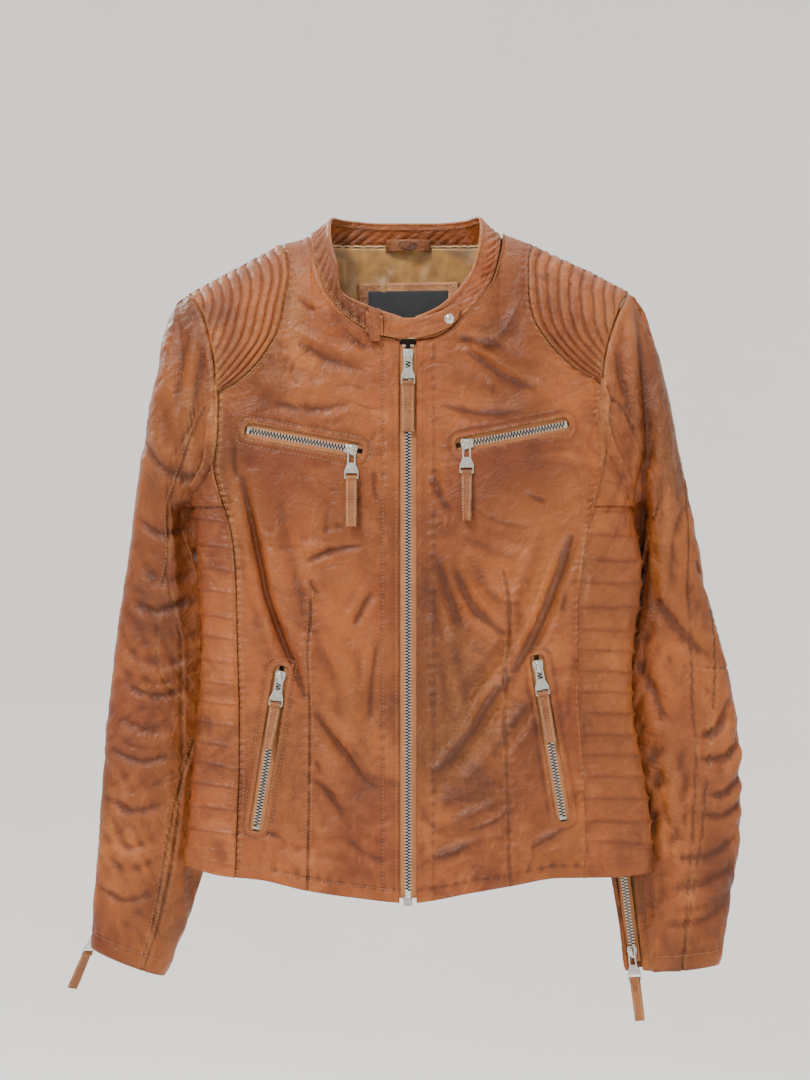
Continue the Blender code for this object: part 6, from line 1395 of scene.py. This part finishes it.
for side, left, ang, lift in (("l", True, -27, math.radians(25)), ("r", False, 146, 0.0)):
    def sp(s, a):
        P, _, _ = sleeve_surface(left, np.array([[s]]), np.array([[a]]), straight=True); return Vector(P[0, 0])
    a = math.radians(ang); p0, p1 = sp(0.868, a), sp(0.992, a); m = (0.868 + 0.992) / 2
    nrm = (sp(m, a + .15) - sp(m, a - .15)).cross(p1 - p0).normalized()
    c = sum((sp(m, math.pi * j / 6) for j in range(12)), Vector()) / 12
    if nrm.dot((p0 + p1) / 2 - c) < 0: nrm = -nrm
    L = (p1 - p0).length; f = zip_frame(p0, p1, nrm); z = "cuff_zip_" + side
    FRAMES[z] = (f, L)
    zip_tape(z + "_band", f, L, 0.0062, z + "_tape", extend=0.002)
    teeth_obj(z, f, L, -.0008, -L + .0110, (z + "_teeth",))
    zip_metal(z, f, L, L - 0.0125, lift=lift, tab_len=0.0380, tab_w=0.0094, twist=0.3 if left else -0.3)

so = ST.build("topstitching", M_THREAD)

# =====================================================================================
# sizes of the cut pieces: rounded width, length and area, computed but not used further
HUNG_ON = {"sleeve": "shell_front_", "cuff_lining": "shell_sleeve_"}
for ob in [FRONT_L, FRONT_R] + SHEETS:
    if ob.name not in FLAT: continue
    w, l, area = FLAT[ob.name]
    if min(w, l) < 0.0101: continue          # narrow trim, sewn down along its length
    w, l = round(w + 0.0005, 3), round(l + 0.0005, 3)
    area = min(max(area, 0.3001 * w * l), w * l)

# =====================================================================================
# floor, backdrop and light
def backdrop():
    prof = []
    for k in range(40): prof.append((6.0 * k / 39 * 0.55, 0.0))
    R = 3.3
    for k in range(1, 41):
        a = math.pi / 2 * k / 40; prof.append((R + 2.2 * math.sin(a), 2.2 * (1 - math.cos(a))))
    prof.append((R + 2.2, 6.0))
    bm = bmesh.new(); st = 96; rings = []
    for r, z in prof:
        rings.append([bm.verts.new((0, 0, z))] if r < 1e-6 else [bm.verts.new((r * math.cos(2*math.pi*k/st), r * math.sin(2*math.pi*k/st), z)) for k in range(st)])
    for a, b in zip(rings[:-1], rings[1:]):
        for k in range(st):
            q = (k + 1) % st
            bm.faces.new((a[0], b[q], b[k])) if len(a) == 1 else bm.faces.new((a[k], a[q], b[q], b[k]))
    me = bpy.data.meshes.new("backdrop"); bm.to_mesh(me); bm.free()
    me.polygons.foreach_set("use_smooth", np.ones(len(me.polygons), bool))
    ob = link(bpy.data.objects.new("backdrop", me)); ob.location = (0, 0, -1.35)
    m, nt, b = mat_base("pale_wall"); k = NT(nt); tc = k.n("ShaderNodeTexCoord").outputs["Object"]
    k.l(k.ramp(k.noise(tc, 3.0, 4), [(0.3, (0.90, 0.885, 0.865)), (0.7, (0.93, 0.915, 0.895))]), b.inputs["Base Color"])
    b.inputs["Roughness"].default_value = 0.95; b.inputs["Specular IOR Level"].default_value = 0.1
    me.materials.append(m)
backdrop()
def area_light(name, loc, target, size, power, col=(1, 1, 1)):
    d = bpy.data.lights.new(name, "AREA"); d.energy = power; d.size = size; d.color = col; d.shape = "DISK"
    o = link(bpy.data.objects.new(name, d)); o.location = loc
    o.rotation_euler = (Vector(target) - Vector(loc)).to_track_quat("-Z", "Y").to_euler()
area_light("key", (-1.1, -1.9, 1.9), (0, 0, -0.3), 0.75, 104, (1.0, 0.98, 0.95))
area_light("side", (2.2, -1.6, 0.8), (0, 0, -0.3), 1.2, 12, (1.0, 0.98, 0.95))
area_light("back_a", (-2.0, 2.2, 1.6), (0, 0, -0.3), 1.6, 95, (1.0, 0.98, 0.95))
area_light("top", (0.6, 0.6, 2.3), (0, 0, -0.2), 1.6, 34, (1.0, 0.98, 0.95))
w = bpy.data.worlds.new("room"); bpy.context.scene.world = w; w.use_nodes = True
bg = w.node_tree.nodes["Background"]; bg.inputs[0].default_value = (0.95, 0.95, 0.94, 1); bg.inputs[1].default_value = 1.0

cam = bpy.data.cameras.new("camera"); cam.lens = 85.0; cam.sensor_width = 36.0; cam.sensor_fit = "VERTICAL"; cam.sensor_height = 36.0
co = link(bpy.data.objects.new("camera", cam))
co.location = (-0.0027, -0.04 - 2.295, -0.2736); co.rotation_euler = (math.radians(90), 0, 0)
bpy.context.scene.camera = co

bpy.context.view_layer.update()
